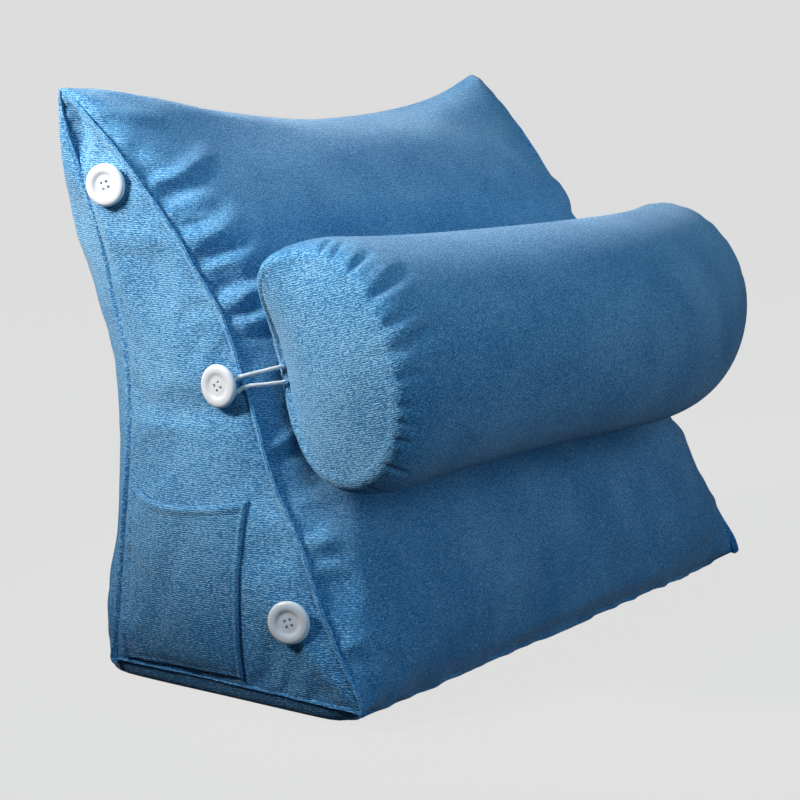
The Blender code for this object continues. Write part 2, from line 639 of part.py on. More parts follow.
def main():
    clear_scene()
    collection = bpy.data.collections.new("triangle_backrest_cushion")
    cutters = bpy.data.collections.new("cutters")
    bpy.context.scene.collection.children.link(collection)
    bpy.context.scene.collection.children.link(cutters)
    plush = new_material("blue plush", PLUSH_BLUE, 0.95)
    bolster_plush = new_material("blue plush, bolster", PLUSH_BLUE, 0.95)
    pocket_plush = new_material("blue plush, pocket", PLUSH_BLUE, 0.95)
    plastic = new_material("white button plastic", BUTTON_WHITE, 0.30)
    thread = new_material("white thread", ELASTIC_WHITE, 0.80)
    elastic = new_material("white elastic", ELASTIC_WHITE, 0.70)
    wedge = build_wedge(plush, collection)
    tree = surface_tree(wedge)
    build_bolster(tree, bolster_plush, collection)
    build_pocket(tree, pocket_plush, collection)
    build_buttons(tree, plastic, thread, collection, cutters)
    build_loop(tree, -1, "loop_left", elastic, collection)
    build_loop(tree, 1, "loop_right", elastic, collection)


main()
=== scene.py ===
# %% [markdown]
# # A backrest wedge in blue chenille, with a bolster buttoned on
# The real thing is a filled, triangular back cushion. Its slope, back and base are sewn to two
# triangular side panels, and each seam is pinched so that it stands up as a low lip. A bolster
# lies across the slope. White elastic loops hold it to the middle one of three large buttons.
# This file dresses the plain solids of the model: it makes the cloth, the seams, the stitches,
# the buttons and the light. Units are metres, and +Z is up.

# %% Load the frame
from math import cos, pi, radians, sin

import bmesh
import bpy
import numpy as np
from mathutils import Matrix, Vector
from mathutils.bvhtree import BVHTree
from mathutils.geometry import delaunay_2d_cdt


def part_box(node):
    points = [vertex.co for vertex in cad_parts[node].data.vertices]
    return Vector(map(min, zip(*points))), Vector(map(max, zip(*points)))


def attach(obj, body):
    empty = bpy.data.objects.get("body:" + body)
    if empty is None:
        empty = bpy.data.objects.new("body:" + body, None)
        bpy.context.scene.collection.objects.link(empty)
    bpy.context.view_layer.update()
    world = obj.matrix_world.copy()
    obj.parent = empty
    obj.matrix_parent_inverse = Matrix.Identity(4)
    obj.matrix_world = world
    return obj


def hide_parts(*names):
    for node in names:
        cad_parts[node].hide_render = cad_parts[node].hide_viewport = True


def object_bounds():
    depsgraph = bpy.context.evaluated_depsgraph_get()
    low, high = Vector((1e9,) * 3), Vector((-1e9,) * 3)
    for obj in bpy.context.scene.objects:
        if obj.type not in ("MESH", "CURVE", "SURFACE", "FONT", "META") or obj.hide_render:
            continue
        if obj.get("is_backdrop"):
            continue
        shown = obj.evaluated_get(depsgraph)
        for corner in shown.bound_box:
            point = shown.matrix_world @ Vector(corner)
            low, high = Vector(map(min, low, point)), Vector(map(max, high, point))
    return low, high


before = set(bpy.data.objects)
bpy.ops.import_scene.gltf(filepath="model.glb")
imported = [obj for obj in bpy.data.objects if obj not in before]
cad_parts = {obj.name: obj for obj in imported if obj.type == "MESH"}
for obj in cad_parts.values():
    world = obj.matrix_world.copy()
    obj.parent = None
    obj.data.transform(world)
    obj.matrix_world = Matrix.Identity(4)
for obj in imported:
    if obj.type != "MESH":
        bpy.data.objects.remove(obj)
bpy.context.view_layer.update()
print("solids:", ", ".join(sorted(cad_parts)))

# %% [markdown]
# ## The camera
# The view is set first, because every later step is judged through it. It stands left of the
# cushion and a little above it. A long lens flattens the shape as in a catalogue picture.
# The angles are turned into a place by going back from the target along the line of sight.

# %% Set up the camera
PICTURE_SIDE = 800          # pixels
FOCAL_PIXELS = 2103         # focal length in the same pixels
SENSOR = 36.0               # mm
CAMERA_AZIMUTH = radians(-55)
CAMERA_ELEVATION = radians(9.65)
CAMERA_DISTANCE = 1.702
CAMERA_TARGET = Vector((-0.0804, 0.0, 0.1977))

back_to_camera = Vector((
    sin(CAMERA_AZIMUTH) * cos(CAMERA_ELEVATION),
    -cos(CAMERA_AZIMUTH) * cos(CAMERA_ELEVATION),
    sin(CAMERA_ELEVATION),
))
camera_data = bpy.data.cameras.new("catalogue view")
camera_data.sensor_width = SENSOR
camera_data.lens = SENSOR * FOCAL_PIXELS / PICTURE_SIDE
camera_data.clip_start = 0.05
camera_data.clip_end = 60.0
camera = bpy.data.objects.new("catalogue view", camera_data)
camera.location = CAMERA_TARGET + back_to_camera * CAMERA_DISTANCE
camera.rotation_mode = "QUATERNION"
camera.rotation_quaternion = (-back_to_camera).to_track_quat("-Z", "Y")
bpy.context.scene.collection.objects.link(camera)
bpy.context.scene.camera = camera
print("camera at", [round(value, 3) for value in camera.location], "lens", round(camera_data.lens, 1))

# %% [markdown]
# ## The wedge's section
# A maker would cut the side panel first, because it gives the cushion its section. The table
# below follows that panel's seam round, from the front foot up the slope, over the ear, down
# the back and along the base. For each point it also says where the cloth lies half way
# along the width, where the filling has pushed the slope, back and base out.
# A smooth curve through few points keeps the outline fair, which many points would not.

# %% The outline's table
SIDE_REACH = 0.300
LIP_HEIGHT = 0.0045
LIP_THICKNESS = 0.0026
LIP_OUT, LIP_OVER = 0.80, 0.60      # the lip's lean, out of the body and over its side
SIDE_CROWN = 0.013
SIDE_CROWN_POWER = 0.8
SIDE_CENTRE = np.array((0.045, 0.150))
SAG_POWERS = {-1: 1.25, 1: 2.1}     # how the top edge sags towards its left and right ears

# Columns: seam y, seam z, middle y, middle z, reach of the crown, quick share of the crown
# across the outline and up, points up to the next row
OUTLINE = (
    (-0.1200, 0.0100, -0.1040, 0.0035, 0.030, 0.9, 0.9, 2),     # front foot
    (-0.1190, 0.0240, -0.1190, 0.0190, 0.060, 0.9, 0.9, 3),
    (-0.1020, 0.0490, -0.1150, 0.0540, 0.070, 0.9, 0.9, 3),
    (-0.0860, 0.0750, -0.1020, 0.0840, 0.070, 0.9, 0.9, 4),
    (-0.0620, 0.1200, -0.0810, 0.1310, 0.070, 0.9, 0.9, 4),
    (-0.0300, 0.1700, -0.0490, 0.1810, 0.070, 0.9, 0.9, 5),
    (-0.0010, 0.2330, -0.0190, 0.2440, 0.070, 0.9, 0.9, 5),     # middle of the slope
    (0.0220, 0.2820, 0.0030, 0.2930, 0.070, 0.9, 0.9, 6),
    (0.0470, 0.3170, 0.0280, 0.3290, 0.070, 0.9, 0.9, 5),
    (0.0640, 0.3420, 0.0460, 0.3530, 0.070, 0.9, 0.9, 9),
    (0.1030, 0.3910, 0.0900, 0.3960, 0.080, 0.8, 0.6, 5),
    (0.1465, 0.4335, 0.1240, 0.4155, 0.090, 0.7, 0.0, 3),
    (0.1650, 0.4505, 0.1480, 0.4200, 0.090, 0.4, 0.0, 3),       # ear
    (0.1735, 0.4495, 0.1600, 0.4205, 0.090, 0.4, 0.0, 3),
    (0.1745, 0.4350, 0.1800, 0.4130, 0.070, 0.8, 0.0, 3),
    (0.1665, 0.4030, 0.1960, 0.3880, 0.060, 0.9, 0.5, 3),
    (0.1480, 0.3500, 0.1980, 0.3400, 0.050, 0.9, 0.9, 3),
    (0.1350, 0.2950, 0.1860, 0.2850, 0.050, 0.9, 0.9, 3),
    (0.1210, 0.2450, 0.1720, 0.2360, 0.050, 0.9, 0.9, 3),       # middle of the back
    (0.1150, 0.1900, 0.1620, 0.1880, 0.050, 0.9, 0.9, 3),
    (0.1140, 0.1200, 0.1540, 0.1200, 0.050, 0.9, 0.9, 3),
    (0.1160, 0.0500, 0.1520, 0.0480, 0.045, 0.9, 0.9, 2),
    (0.1190, 0.0240, 0.1460, 0.0180, 0.040, 0.9, 0.9, 2),
    (0.1190, 0.0100, 0.1380, 0.0040, 0.030, 0.9, 0.9, 2),       # rear foot
    (0.1040, 0.0110, 0.1220, 0.0000, 0.009, 1.0, 1.0, 2),
    (0.0100, 0.0110, 0.0100, 0.0000, 0.009, 1.0, 1.0, 2),       # base
    (-0.0980, 0.0105, -0.0940, 0.0000, 0.009, 1.0, 1.0, 2),
)
# Columns: height on the side seam, how far the filling draws the seam in from SIDE_REACH
DRAW_IN = (
    (0.000, 0.0005), (0.045, 0.0025), (0.088, 0.0060), (0.132, 0.0110), (0.190, 0.0185),
    (0.230, 0.0230), (0.280, 0.0245), (0.317, 0.0240), (0.342, 0.0220), (0.391, 0.0170),
    (0.430, 0.0130), (0.453, 0.0115),
)
print("outline of", len(OUTLINE), "rows,", sum(row[-1] for row in OUTLINE), "points")


# %% Curves through the tables
def smooth_curve(table, places):
    """Values of a table's second column at places in its first, on a smooth curve."""
    knots = np.array([row[0] for row in table])
    values = np.array([row[1] for row in table])
    slopes = np.gradient(values, knots)
    places = np.clip(places, knots[0], knots[-1])
    i = np.clip(np.searchsorted(knots, places, side="right") - 1, 0, len(knots) - 2)
    step = knots[i + 1] - knots[i]
    u = (places - knots[i]) / step
    start = (2 * u**3 - 3 * u**2 + 1) * values[i] + (u**3 - 2 * u**2 + u) * step * slopes[i]
    end = (3 * u**2 - 2 * u**3) * values[i + 1] + (u**3 - u**2) * step * slopes[i + 1]
    return start + end


def catmull_rom(before, start, end, after, u):
    return 0.5 * (2 * start + (end - before) * u + (2 * before - 5 * start + 4 * end - after) * u**2
                  + (3 * start - before - 3 * end + after) * u**3)


def seam_reach(height):
    return SIDE_REACH - smooth_curve(DRAW_IN, height)


def section():
    """The outline's points, their outward directions and the places where the lip stands."""
    rows = np.array([row[:7] for row in OUTLINE])
    points = []
    for i, row in enumerate(OUTLINE):
        neighbours = [rows[(i + k) % len(rows)] for k in (-1, 0, 1, 2)]
        points += [catmull_rom(*neighbours, step / row[7]) for step in range(row[7])]
    points = np.array(points)
    points[:, 3] = np.maximum(points[:, 3], 0.0)
    points[:, 5:7] = np.clip(points[:, 5:7], 0.0, 1.0)
    along = np.roll(points[:, 0:2], -1, axis=0) - np.roll(points[:, 0:2], 1, axis=0)
    along /= np.linalg.norm(along, axis=1)[:, None]
    normals = np.stack([-along[:, 1], along[:, 0]], axis=1)
    return points, normals, points[:, 0:2] - normals * LIP_OUT * LIP_HEIGHT


def finer(values, refine):
    """A closed row of values, refine times as many, on a smooth curve through the given ones."""
    before, after, beyond = [np.roll(values, k, axis=0) for k in (1, -1, -2)]
    steps = [catmull_rom(before, values, after, beyond, step / refine) for step in range(refine)]
    return np.stack(steps, axis=1).reshape(-1, values.shape[1])


def crossing(start, end, other_start, other_end):
    """The place where two short straight lines cross, or None."""
    way, other_way = end - start, other_end - other_start
    turn = way[0] * other_way[1] - way[1] * other_way[0]
    gap = other_start - start
    if abs(turn) < 1e-12:
        return None
    share = (gap[0] * other_way[1] - gap[1] * other_way[0]) / turn
    other_share = (gap[0] * way[1] - gap[1] * way[0]) / turn
    inside = 0.0 <= share <= 1.0 and 0.0 <= other_share <= 1.0
    return start + way * share if inside else None


def untangled(ring):
    """A closed row of flat points, with the tiny loops at its sharp corners pulled straight."""
    ring = ring.copy()
    count = len(ring)
    for first in range(count):
        for loop in range(6, 1, -1):
            start, end = ring[first], ring[(first + loop + 1) % count]
            knot = crossing(start, ring[(first + 1) % count], ring[(first + loop) % count], end)
            if knot is None:
                continue
            for i in range(1, loop + 1):
                share = 2 * i / (loop + 1)
                place = start + (knot - start) * share if share < 1 else knot + (end - knot) * (share - 1)
                ring[(first + i) % count] = place
    return ring


BODY_REFINE = 2
section_rows = section()
outline, outline_out, foot = [finer(values, BODY_REFINE) for values in section_rows]
foot = untangled(foot)
outline[:, 3] = np.maximum(outline[:, 3], 0.0)
outline[:, 5:7] = np.clip(outline[:, 5:7], 0.0, 1.0)
foot_reach = seam_reach(outline[:, 1]) - LIP_OVER * LIP_HEIGHT
EAR = int(np.argmax(outline[:, 1]))
steps_along = np.linalg.norm(np.roll(foot, -1, axis=0) - foot, axis=1)
seam_length = float(steps_along.sum())
print(f"side seam {seam_length:.3f} m round, ear at point {EAR} of {len(outline)}")

# %% [markdown]
# ## The wedge's cover
# The cover is one closed skin. The band that makes the slope, back and base is a grid, because
# it is a long strip of cloth. Each side panel is filled with evenly spaced points and joined by
# a Delaunay triangulation, so that the cloth simulation later finds triangles of one size.
# A fan of rings would crowd its points in the middle, and the simulation would stiffen there.


# %% Places on the band and on a side panel
BAND_ROWS = 42
BAND_CROWDING = 1.12        # over 1 puts the rows closer together near the seam
EAR_FILL = {-1: 0.0070, 1: 0.0085}      # how far the filling lifts the top edge beside its ears
EAR_FILL_REACH = {-1: 0.045, 1: 0.022}
EAR_FILL_WIDTH = 0.050
ear_near = np.exp(-(np.linalg.norm(foot - foot[EAR], axis=1) / EAR_FILL_WIDTH)**2)
PANEL_STEP = 0.0066
# Columns: y, z, spread along y and z, depth of a hollow in each side panel
PANEL_HOLLOWS = (
    (0.156, 0.420, 0.012, 0.036, 0.0120), (0.126, 0.402, 0.009, 0.018, 0.0030),
    (0.086, 0.300, 0.016, 0.030, 0.0012), (0.050, 0.215, 0.040, 0.010, 0.0014),
    (-0.040, 0.120, 0.020, 0.014, 0.0012), (0.095, 0.230, 0.012, 0.040, 0.0010),
)


def band_ring(side, share):
    """One row of the band, from its side seam at share 0 to the middle of the width at 1."""
    distance = foot_reach * share
    near = np.clip(distance / outline[:, 4], 0.0, 1.0)
    quick = np.sqrt(1.0 - (1.0 - near)**2)
    slow = 1.0 - (1.0 - share)**SAG_POWERS[side]
    across = outline[:, 5] * quick + (1.0 - outline[:, 5]) * slow
    up = outline[:, 6] * quick + (1.0 - outline[:, 6]) * slow
    y = foot[:, 0] + (outline[:, 2] - foot[:, 0]) * across
    z = foot[:, 1] + (outline[:, 3] - foot[:, 1]) * up
    filled = distance / EAR_FILL_REACH[side]
    z = z + EAR_FILL[side] * ear_near * filled * np.exp(1.0 - filled)
    return np.stack([side * (foot_reach - distance), y, z], axis=1)


edge_angles = np.arctan2(foot[:, 1] - SIDE_CENTRE[1], foot[:, 0] - SIDE_CENTRE[0])
edge_order = np.argsort(edge_angles)
edge_radii = np.linalg.norm(foot - SIDE_CENTRE, axis=1)


def panel_share(places):
    """0 in a side panel's middle and 1 on its seam, for places given as y and z."""
    angles = np.arctan2(places[:, 1] - SIDE_CENTRE[1], places[:, 0] - SIDE_CENTRE[0])
    radii = np.interp(angles, edge_angles[edge_order], edge_radii[edge_order], period=2 * pi)
    return np.clip(np.linalg.norm(places - SIDE_CENTRE, axis=1) / radii, 0.0, 1.0)


def panel_places(side, places):
    height = SIDE_CROWN * (1.0 - panel_share(places)**2)**SIDE_CROWN_POWER
    for y, z, wide, tall, depth in PANEL_HOLLOWS:
        height -= depth * np.exp(-((places[:, 0] - y) / wide)**2 - ((places[:, 1] - z) / tall)**2)
    reach = seam_reach(places[:, 1]) - LIP_OVER * LIP_HEIGHT + height
    return np.stack([side * reach, places[:, 0], places[:, 1]], axis=1)


def panel_grid():
    """Points inside the side panel's outline, in offset rows, clear of its edge."""
    inside = []
    row_step = PANEL_STEP * 3**0.5 / 2
    rows = int(0.46 / row_step)
    for row in range(1, rows):
        z = row * row_step
        start = -0.13 + PANEL_STEP * (0.5 if row % 2 else 0.0)
        for column in range(int(0.32 / PANEL_STEP)):
            inside.append((start + column * PANEL_STEP, z))
    inside = np.array(inside)
    angles = np.arctan2(inside[:, 1] - SIDE_CENTRE[1], inside[:, 0] - SIDE_CENTRE[0])
    radii = np.interp(angles, edge_angles[edge_order], edge_radii[edge_order], period=2 * pi)
    inside = inside[np.linalg.norm(inside - SIDE_CENTRE, axis=1) < radii]
    gaps = np.linalg.norm(inside[:, None, :] - foot[None, :, :], axis=2).min(axis=1)
    return inside[gaps > 0.62 * PANEL_STEP]


# %% Join the band and the panels into one skin
shares = (np.arange(BAND_ROWS + 1) / BAND_ROWS)**BAND_CROWDING
rings = [band_ring(-1, share) for share in shares]
rings += [band_ring(1, share) for share in reversed(shares[:-1])]
count = len(outline)
places = [np.concatenate(rings)]
faces = []
for row in range(len(rings) - 1):
    for i in range(count):
        k = (i + 1) % count
        faces.append((row * count + i, row * count + k, (row + 1) * count + k, (row + 1) * count + i))
inner = panel_grid()
flat_points = [Vector(place) for place in np.concatenate([foot, inner])]
border = [(i, (i + 1) % count) for i in range(count)]
triangles = delaunay_2d_cdt(flat_points, border, [], 1, 1e-7)[2]
first_inner = {}
for side, first_edge in ((-1, 0), (1, (len(rings) - 1) * count)):
    first_inner[side] = sum(len(block) for block in places)
    places.append(panel_places(side, inner))
    for triangle in triangles:
        faces.append(tuple(first_edge + i if i < count else first_inner[side] + i - count for i in triangle))
skin = np.concatenate(places)
print("wedge skin:", len(skin), "points,", len(faces), "faces")


# %% Make meshes from points and faces
def mesh_object(name, points, faces, material=None):
    mesh = bpy.data.meshes.new(name)
    mesh.from_pydata([tuple(point) for point in points], [], faces)
    shell = bmesh.new()
    shell.from_mesh(mesh)
    bmesh.ops.recalc_face_normals(shell, faces=shell.faces)
    shell.to_mesh(mesh)
    shell.free()
    mesh.shade_smooth()
    if material is not None:
        mesh.materials.append(material)
    item = bpy.data.objects.new(name, mesh)
    bpy.context.scene.collection.objects.link(item)
    return item


def read_points(mesh):
    points = np.zeros(len(mesh.vertices) * 3)
    mesh.vertices.foreach_get("co", points)
    return points.reshape(-1, 3)


def write_points(mesh, points):
    mesh.vertices.foreach_set("co", np.asarray(points, np.float32).ravel())
    mesh.update()


def point_normals(mesh):
    normals = np.zeros(len(mesh.vertices) * 3)
    mesh.vertices.foreach_get("normal", normals)
    return normals.reshape(-1, 3)


def surface_of(item):
    corners = [vertex.co.copy() for vertex in item.data.vertices]
    return BVHTree.FromPolygons(corners, [tuple(face.vertices) for face in item.data.polygons])


wedge = mesh_object("wedge_cover", skin, faces)
print("wedge cover made of", len(wedge.data.polygons), "faces")

# %% [markdown]
# ## Blow the cover up against its seams
# A stuffed cover is cut a little larger than its body, and the filling pushes it out until the
# seams stop it. The spare cloth then gathers into soft waves. A cloth simulation does just
# that: the seam's points are pinned, the cloth grows by a few percent, and an inner pressure
# fills it. How far a point may move is capped, so that the cushion keeps its size.
# The folds that show most are listed and put in afterwards, where the real cushion has them.

# %% Simulate the cover
CLOTH_FRAMES = 20
CLOTH_GROWTH = 0.035
CLOTH_PRESSURE = 3.0
BAND_CAP = 0.0050
PANEL_CAP = 0.0016


def settle(item, pinned, growth, pressure):
    """Runs the cloth from its own shape and returns how far each point has moved."""
    start = read_points(item.data)
    held = item.vertex_groups.new(name="sewn")
    for index, weight in pinned:
        held.add([index], weight, "REPLACE")
    cloth = item.modifiers.new("cloth", "CLOTH")
    cloth.settings.vertex_group_mass = "sewn"
    cloth.settings.quality = 5
    cloth.settings.mass = 0.25
    cloth.settings.tension_stiffness = 12
    cloth.settings.compression_stiffness = 12
    cloth.settings.shear_stiffness = 5
    cloth.settings.bending_stiffness = 0.35
    cloth.settings.shrink_min = -growth
    cloth.settings.use_pressure = True
    cloth.settings.uniform_pressure_force = pressure
    cloth.settings.effector_weights.gravity = 0.0
    cloth.collision_settings.use_collision = False
    cloth.collision_settings.use_self_collision = False
    cloth.point_cache.frame_start = 1
    cloth.point_cache.frame_end = CLOTH_FRAMES
    scene = bpy.context.scene
    for step in range(1, CLOTH_FRAMES + 1):
        scene.frame_set(step)
    graph = bpy.context.evaluated_depsgraph_get()
    settled = item.evaluated_get(graph).to_mesh()
    moved = read_points(settled) - start
    item.evaluated_get(graph).to_mesh_clear()
    item.modifiers.remove(cloth)
    item.vertex_groups.remove(held)
    scene.frame_set(1)
    return moved


band_count = len(rings) * count
seam_points = list(range(count)) + list(range((len(rings) - 1) * count, band_count))
base_points = [i for i in range(band_count) if skin[i, 2] < 0.0008]
cap = np.full(len(skin), BAND_CAP)
cap[band_count:] = PANEL_CAP
moved = settle(wedge, [(i, 1.0) for i in seam_points + base_points], CLOTH_GROWTH, CLOTH_PRESSURE)
lengths = np.maximum(np.linalg.norm(moved, axis=1), 1e-9)
print(f"cloth moved {lengths.mean() * 1000:.1f} mm on average, {lengths.max() * 1000:.1f} at most")
moved *= (cap * np.tanh(lengths / cap) / lengths)[:, None]
settled_skin = skin + moved
settled_skin[:, 2] = np.maximum(settled_skin[:, 2], 0.0)
write_points(wedge.data, settled_skin)

# %% [markdown]
# ## Folds and puckers
# Two kinds of crease run in from the side seams. The main folds are long and few, and they fan
# up across the slope between the ear and the bolster. The puckers are short and many, because
# the seam holds the cloth a little tighter than the panel. Both are pressed into the skin along
# its own normals, as soft troughs with a low ridge on each flank, which is how cloth buckles.

# %% The main folds
# Columns: side, height where the fold leaves the side seam, length, rise, depth. A ridge has a
# depth below nothing.
FOLDS = (
    (-1, 0.376, 0.085, 0.028, -0.0028), (-1, 0.366, 0.060, 0.020, 0.0018), (-1, 0.357, 0.034, 0.012, -0.0013),
    (-1, 0.346, 0.052, 0.020, 0.0020), (-1, 0.335, 0.050, 0.022, -0.0018), (-1, 0.325, 0.060, 0.021, 0.0024),
    (-1, 0.314, 0.056, 0.019, -0.0025), (-1, 0.303, 0.065, 0.018, 0.0027), (-1, 0.292, 0.044, 0.015, -0.0022),
    (-1, 0.284, 0.045, 0.012, 0.0018), (-1, 0.276, 0.034, 0.010, -0.0018), (-1, 0.266, 0.050, 0.012, 0.0022),
    (-1, 0.430, 0.070, -0.004, -0.0014),
    (-1, 0.199, 0.030, 0.010, 0.0018), (-1, 0.189, 0.026, 0.010, -0.0028), (-1, 0.180, 0.026, 0.008, 0.0016),
    (-1, 0.125, 0.026, 0.006, -0.0026), (-1, 0.116, 0.026, 0.005, 0.0018), (-1, 0.107, 0.020, 0.003, -0.0018),
    (-1, 0.057, 0.022, 0.004, -0.0022), (-1, 0.048, 0.020, 0.003, 0.0014),
    (1, 0.384, 0.060, 0.014, 0.0010), (1, 0.372, 0.050, 0.014, -0.0008), (1, 0.355, 0.070, 0.020, 0.0011),
    (1, 0.340, 0.050, 0.016, -0.0008), (1, 0.322, 0.055, 0.012, 0.0009), (1, 0.305, 0.060, 0.018, -0.0008),
    (1, 0.288, 0.080, 0.020, 0.0011), (1, 0.262, 0.060, 0.014, 0.0009), (1, 0.140, 0.035, 0.008, 0.0010),
    (1, 0.122, 0.030, 0.006, -0.0008), (1, 0.070, 0.026, 0.004, 0.0008),
)
FOLD_WIDTH = 0.0050
FOLD_START = 0.22
FOLD_RIDGE = 0.20           # height of the flanks over the depth of the trough
FOLD_LEAD = 0.004           # length over which a fold comes out of its seam


def trough(offset):
    """A trough one unit deep at offset 0, with a low ridge on each flank."""
    return np.exp(-offset**2) - FOLD_RIDGE * (np.exp(-(offset - 1.7)**2) + np.exp(-(offset + 1.7)**2))


def fold_depths(side, distance, height):
    depth = np.zeros(len(distance))
    for fold_side, start, length, rise, deepest in FOLDS:
        share = distance / length
        across = (height - start - rise * share) / (FOLD_WIDTH * (0.7 + 0.6 * share))
        along = np.sin(pi * np.clip(FOLD_START + (1.0 - FOLD_START) * share, 0.0, 1.0))
        depth += (side == fold_side) * deepest * along * trough(across)
    return depth


# %% The puckers along the seams
PUCKER_STEP = 0.0150
PUCKER_LENGTHS = (0.012, 0.034)
PUCKER_DEPTHS = (0.0004, 0.0014)
PUCKER_WIDTH = 0.0042
chance = np.random.default_rng(7)
along_seam = np.concatenate([[0.0], np.cumsum(steps_along)[:-1]])


def pucker_depths(side, distance, along, chance):
    depth = np.zeros(len(distance))
    for wanted in (-1, 1):
        place = 0.0
        while place < seam_length:
            place += PUCKER_STEP * chance.uniform(0.6, 1.5)
            length = chance.uniform(*PUCKER_LENGTHS)
            deepest = chance.uniform(*PUCKER_DEPTHS)
            lean = chance.uniform(-0.25, 0.35)
            near = (side == wanted) & (distance < length)
            gap = along[near] - place - lean * distance[near]
            gap = (gap + seam_length / 2) % seam_length - seam_length / 2
            fade = np.sin(pi * np.clip(0.15 + 0.85 * distance[near] / length, 0.0, 1.0))
            depth[near] += deepest * fade * trough(gap / PUCKER_WIDTH)
    return depth


ring_sides = np.repeat([-1] * (BAND_ROWS + 1) + [1] * BAND_ROWS, count)
ring_shares = np.repeat(np.concatenate([shares, shares[:-1][::-1]]), count)
index_round = np.tile(np.arange(count), len(rings))
distance = foot_reach[index_round] * ring_shares
on_slope = (index_round > 0) & (index_round < EAR)
off_floor = settled_skin[:band_count, 2] > 0.004
depth = np.zeros(len(skin))
depth[:band_count] = pucker_depths(ring_sides, distance, along_seam[index_round], chance) * off_floor
depth[seam_points] = 0.0
creased = settled_skin - point_normals(wedge.data) * depth[:, None]
creased[:, 2] = np.maximum(creased[:, 2], 0.0)
write_points(wedge.data, creased)
rounder = wedge.modifiers.new("rounder", "SUBSURF")
rounder.levels = 1
rounder.render_levels = 1
wedge_mesh = bpy.data.meshes.new_from_object(wedge.evaluated_get(bpy.context.evaluated_depsgraph_get()))
wedge.modifiers.clear()
wedge.data = wedge_mesh
wedge.data.shade_smooth()
fine_skin = read_points(wedge.data)
fine_normals = point_normals(wedge.data)
fine_slope = (fine_normals @ np.array((0.0, -0.875, 0.484)) > 0.4) & (fine_skin[:, 2] > 0.004)
from_seam = np.maximum(seam_reach(fine_skin[:, 2]) - LIP_OVER * LIP_HEIGHT - np.abs(fine_skin[:, 0]), 0.0)
folds = fold_depths(np.sign(fine_skin[:, 0]), from_seam, fine_skin[:, 2])
folds *= fine_slope * np.clip(from_seam / FOLD_LEAD, 0.0, 1.0)
write_points(wedge.data, fine_skin - fine_normals * folds[:, None])
print("deepest fold", round(float(folds.max()) * 1000, 1), "mm, faces now", len(wedge.data.polygons))

# %% [markdown]
# ## The bolster
# The bolster is a tube of the same cloth with two end panels gathered into it. It isn't a plain
# cylinder: the loops pull its ends back, so it bends round the slope's crown, it is pressed
# flat where it lies, and its end seams draw dark little darts into the tube. The tube is a loft
# of rings along its length, with its rings closer together near the ends, where the darts are.

# %% The bolster's sizes
SLOPE_POINT = Vector((0.0, 0.0, 0.235))
SLOPE_DOWN = Vector((0.0, -0.484, -0.875)).normalized()
SLOPE_OUT = Vector((0.0, -0.875, 0.484)).normalized()
# Columns: share of the length, middle's distance out of the slope, distance down it, radius
BOLSTER = (
    (-1.0, 0.0790, 0.0185, 0.0960),
    (-0.5, 0.0938, 0.0280, 0.0900),
    (0.0, 0.0995, 0.0335, 0.0900),
    (0.5, 0.0872, 0.0316, 0.0918),
    (1.0, 0.0593, 0.0000, 0.0777),
)
BOLSTER_LEFT = -0.279
BOLSTER_RIGHT = 0.298
BOLSTER_FLATNESS = 0.23
BOLSTER_SHEAR = 0.25
BOLSTER_TURN = 0.06
END_CROWN = {-1: 0.010, 1: 0.016}
END_ROUND = {-1: 0.036, 1: 0.026}       # length over which the tube rolls into an end panel
END_ROUND_POWER = {-1: 2.0, 1: 2.4}
END_SHARE = {-1: 0.800, 1: 0.90}        # end panel's radius over the tube's
# Columns: end, place round its edge in degrees from its lowest point over its front, spread,
# push along the tube, push away from its axis. The loops draw the left end's rear edge in.
END_EDGE = (
    (-1, 200.0, 24.0, 0.013, 0.011), (-1, 250.0, 26.0, -0.010, 0.004), (-1, 312.0, 30.0, 0.004, 0.012),
    (-1, 350.0, 22.0, 0.0, 0.002), (1, 210.0, 24.0, 0.010, 0.0), (1, 262.0, 30.0, -0.008, 0.0),
)
END_EDGE_LENGTH = 0.080
BOLSTER_SIDES = 320
REST_GAP = 0.0006
knots = [row[0] for row in BOLSTER]
bolster_curves = [np.polyfit(knots, [row[k] for row in BOLSTER], len(BOLSTER) - 1) for k in (1, 2, 3)]
half_length = (BOLSTER_RIGHT - BOLSTER_LEFT) / 2

# %% Where the tube's rings stand
RING_STEP_END, RING_STEP_MIDDLE = 0.0011, 0.0060
distances = [0.0]
while distances[-1] < half_length:
    growth = min(1.0, distances[-1] / 0.060)
    distances.append(distances[-1] + RING_STEP_END + (RING_STEP_MIDDLE - RING_STEP_END) * growth)
distances = np.array(distances[:-1]) * (half_length / distances[-2]) * 0.985
ring_places = np.concatenate([distances / half_length - 1.0, [0.0], (1.0 - distances / half_length)[::-1]])
print("bolster rings:", len(ring_places), "of", BOLSTER_SIDES, "points")
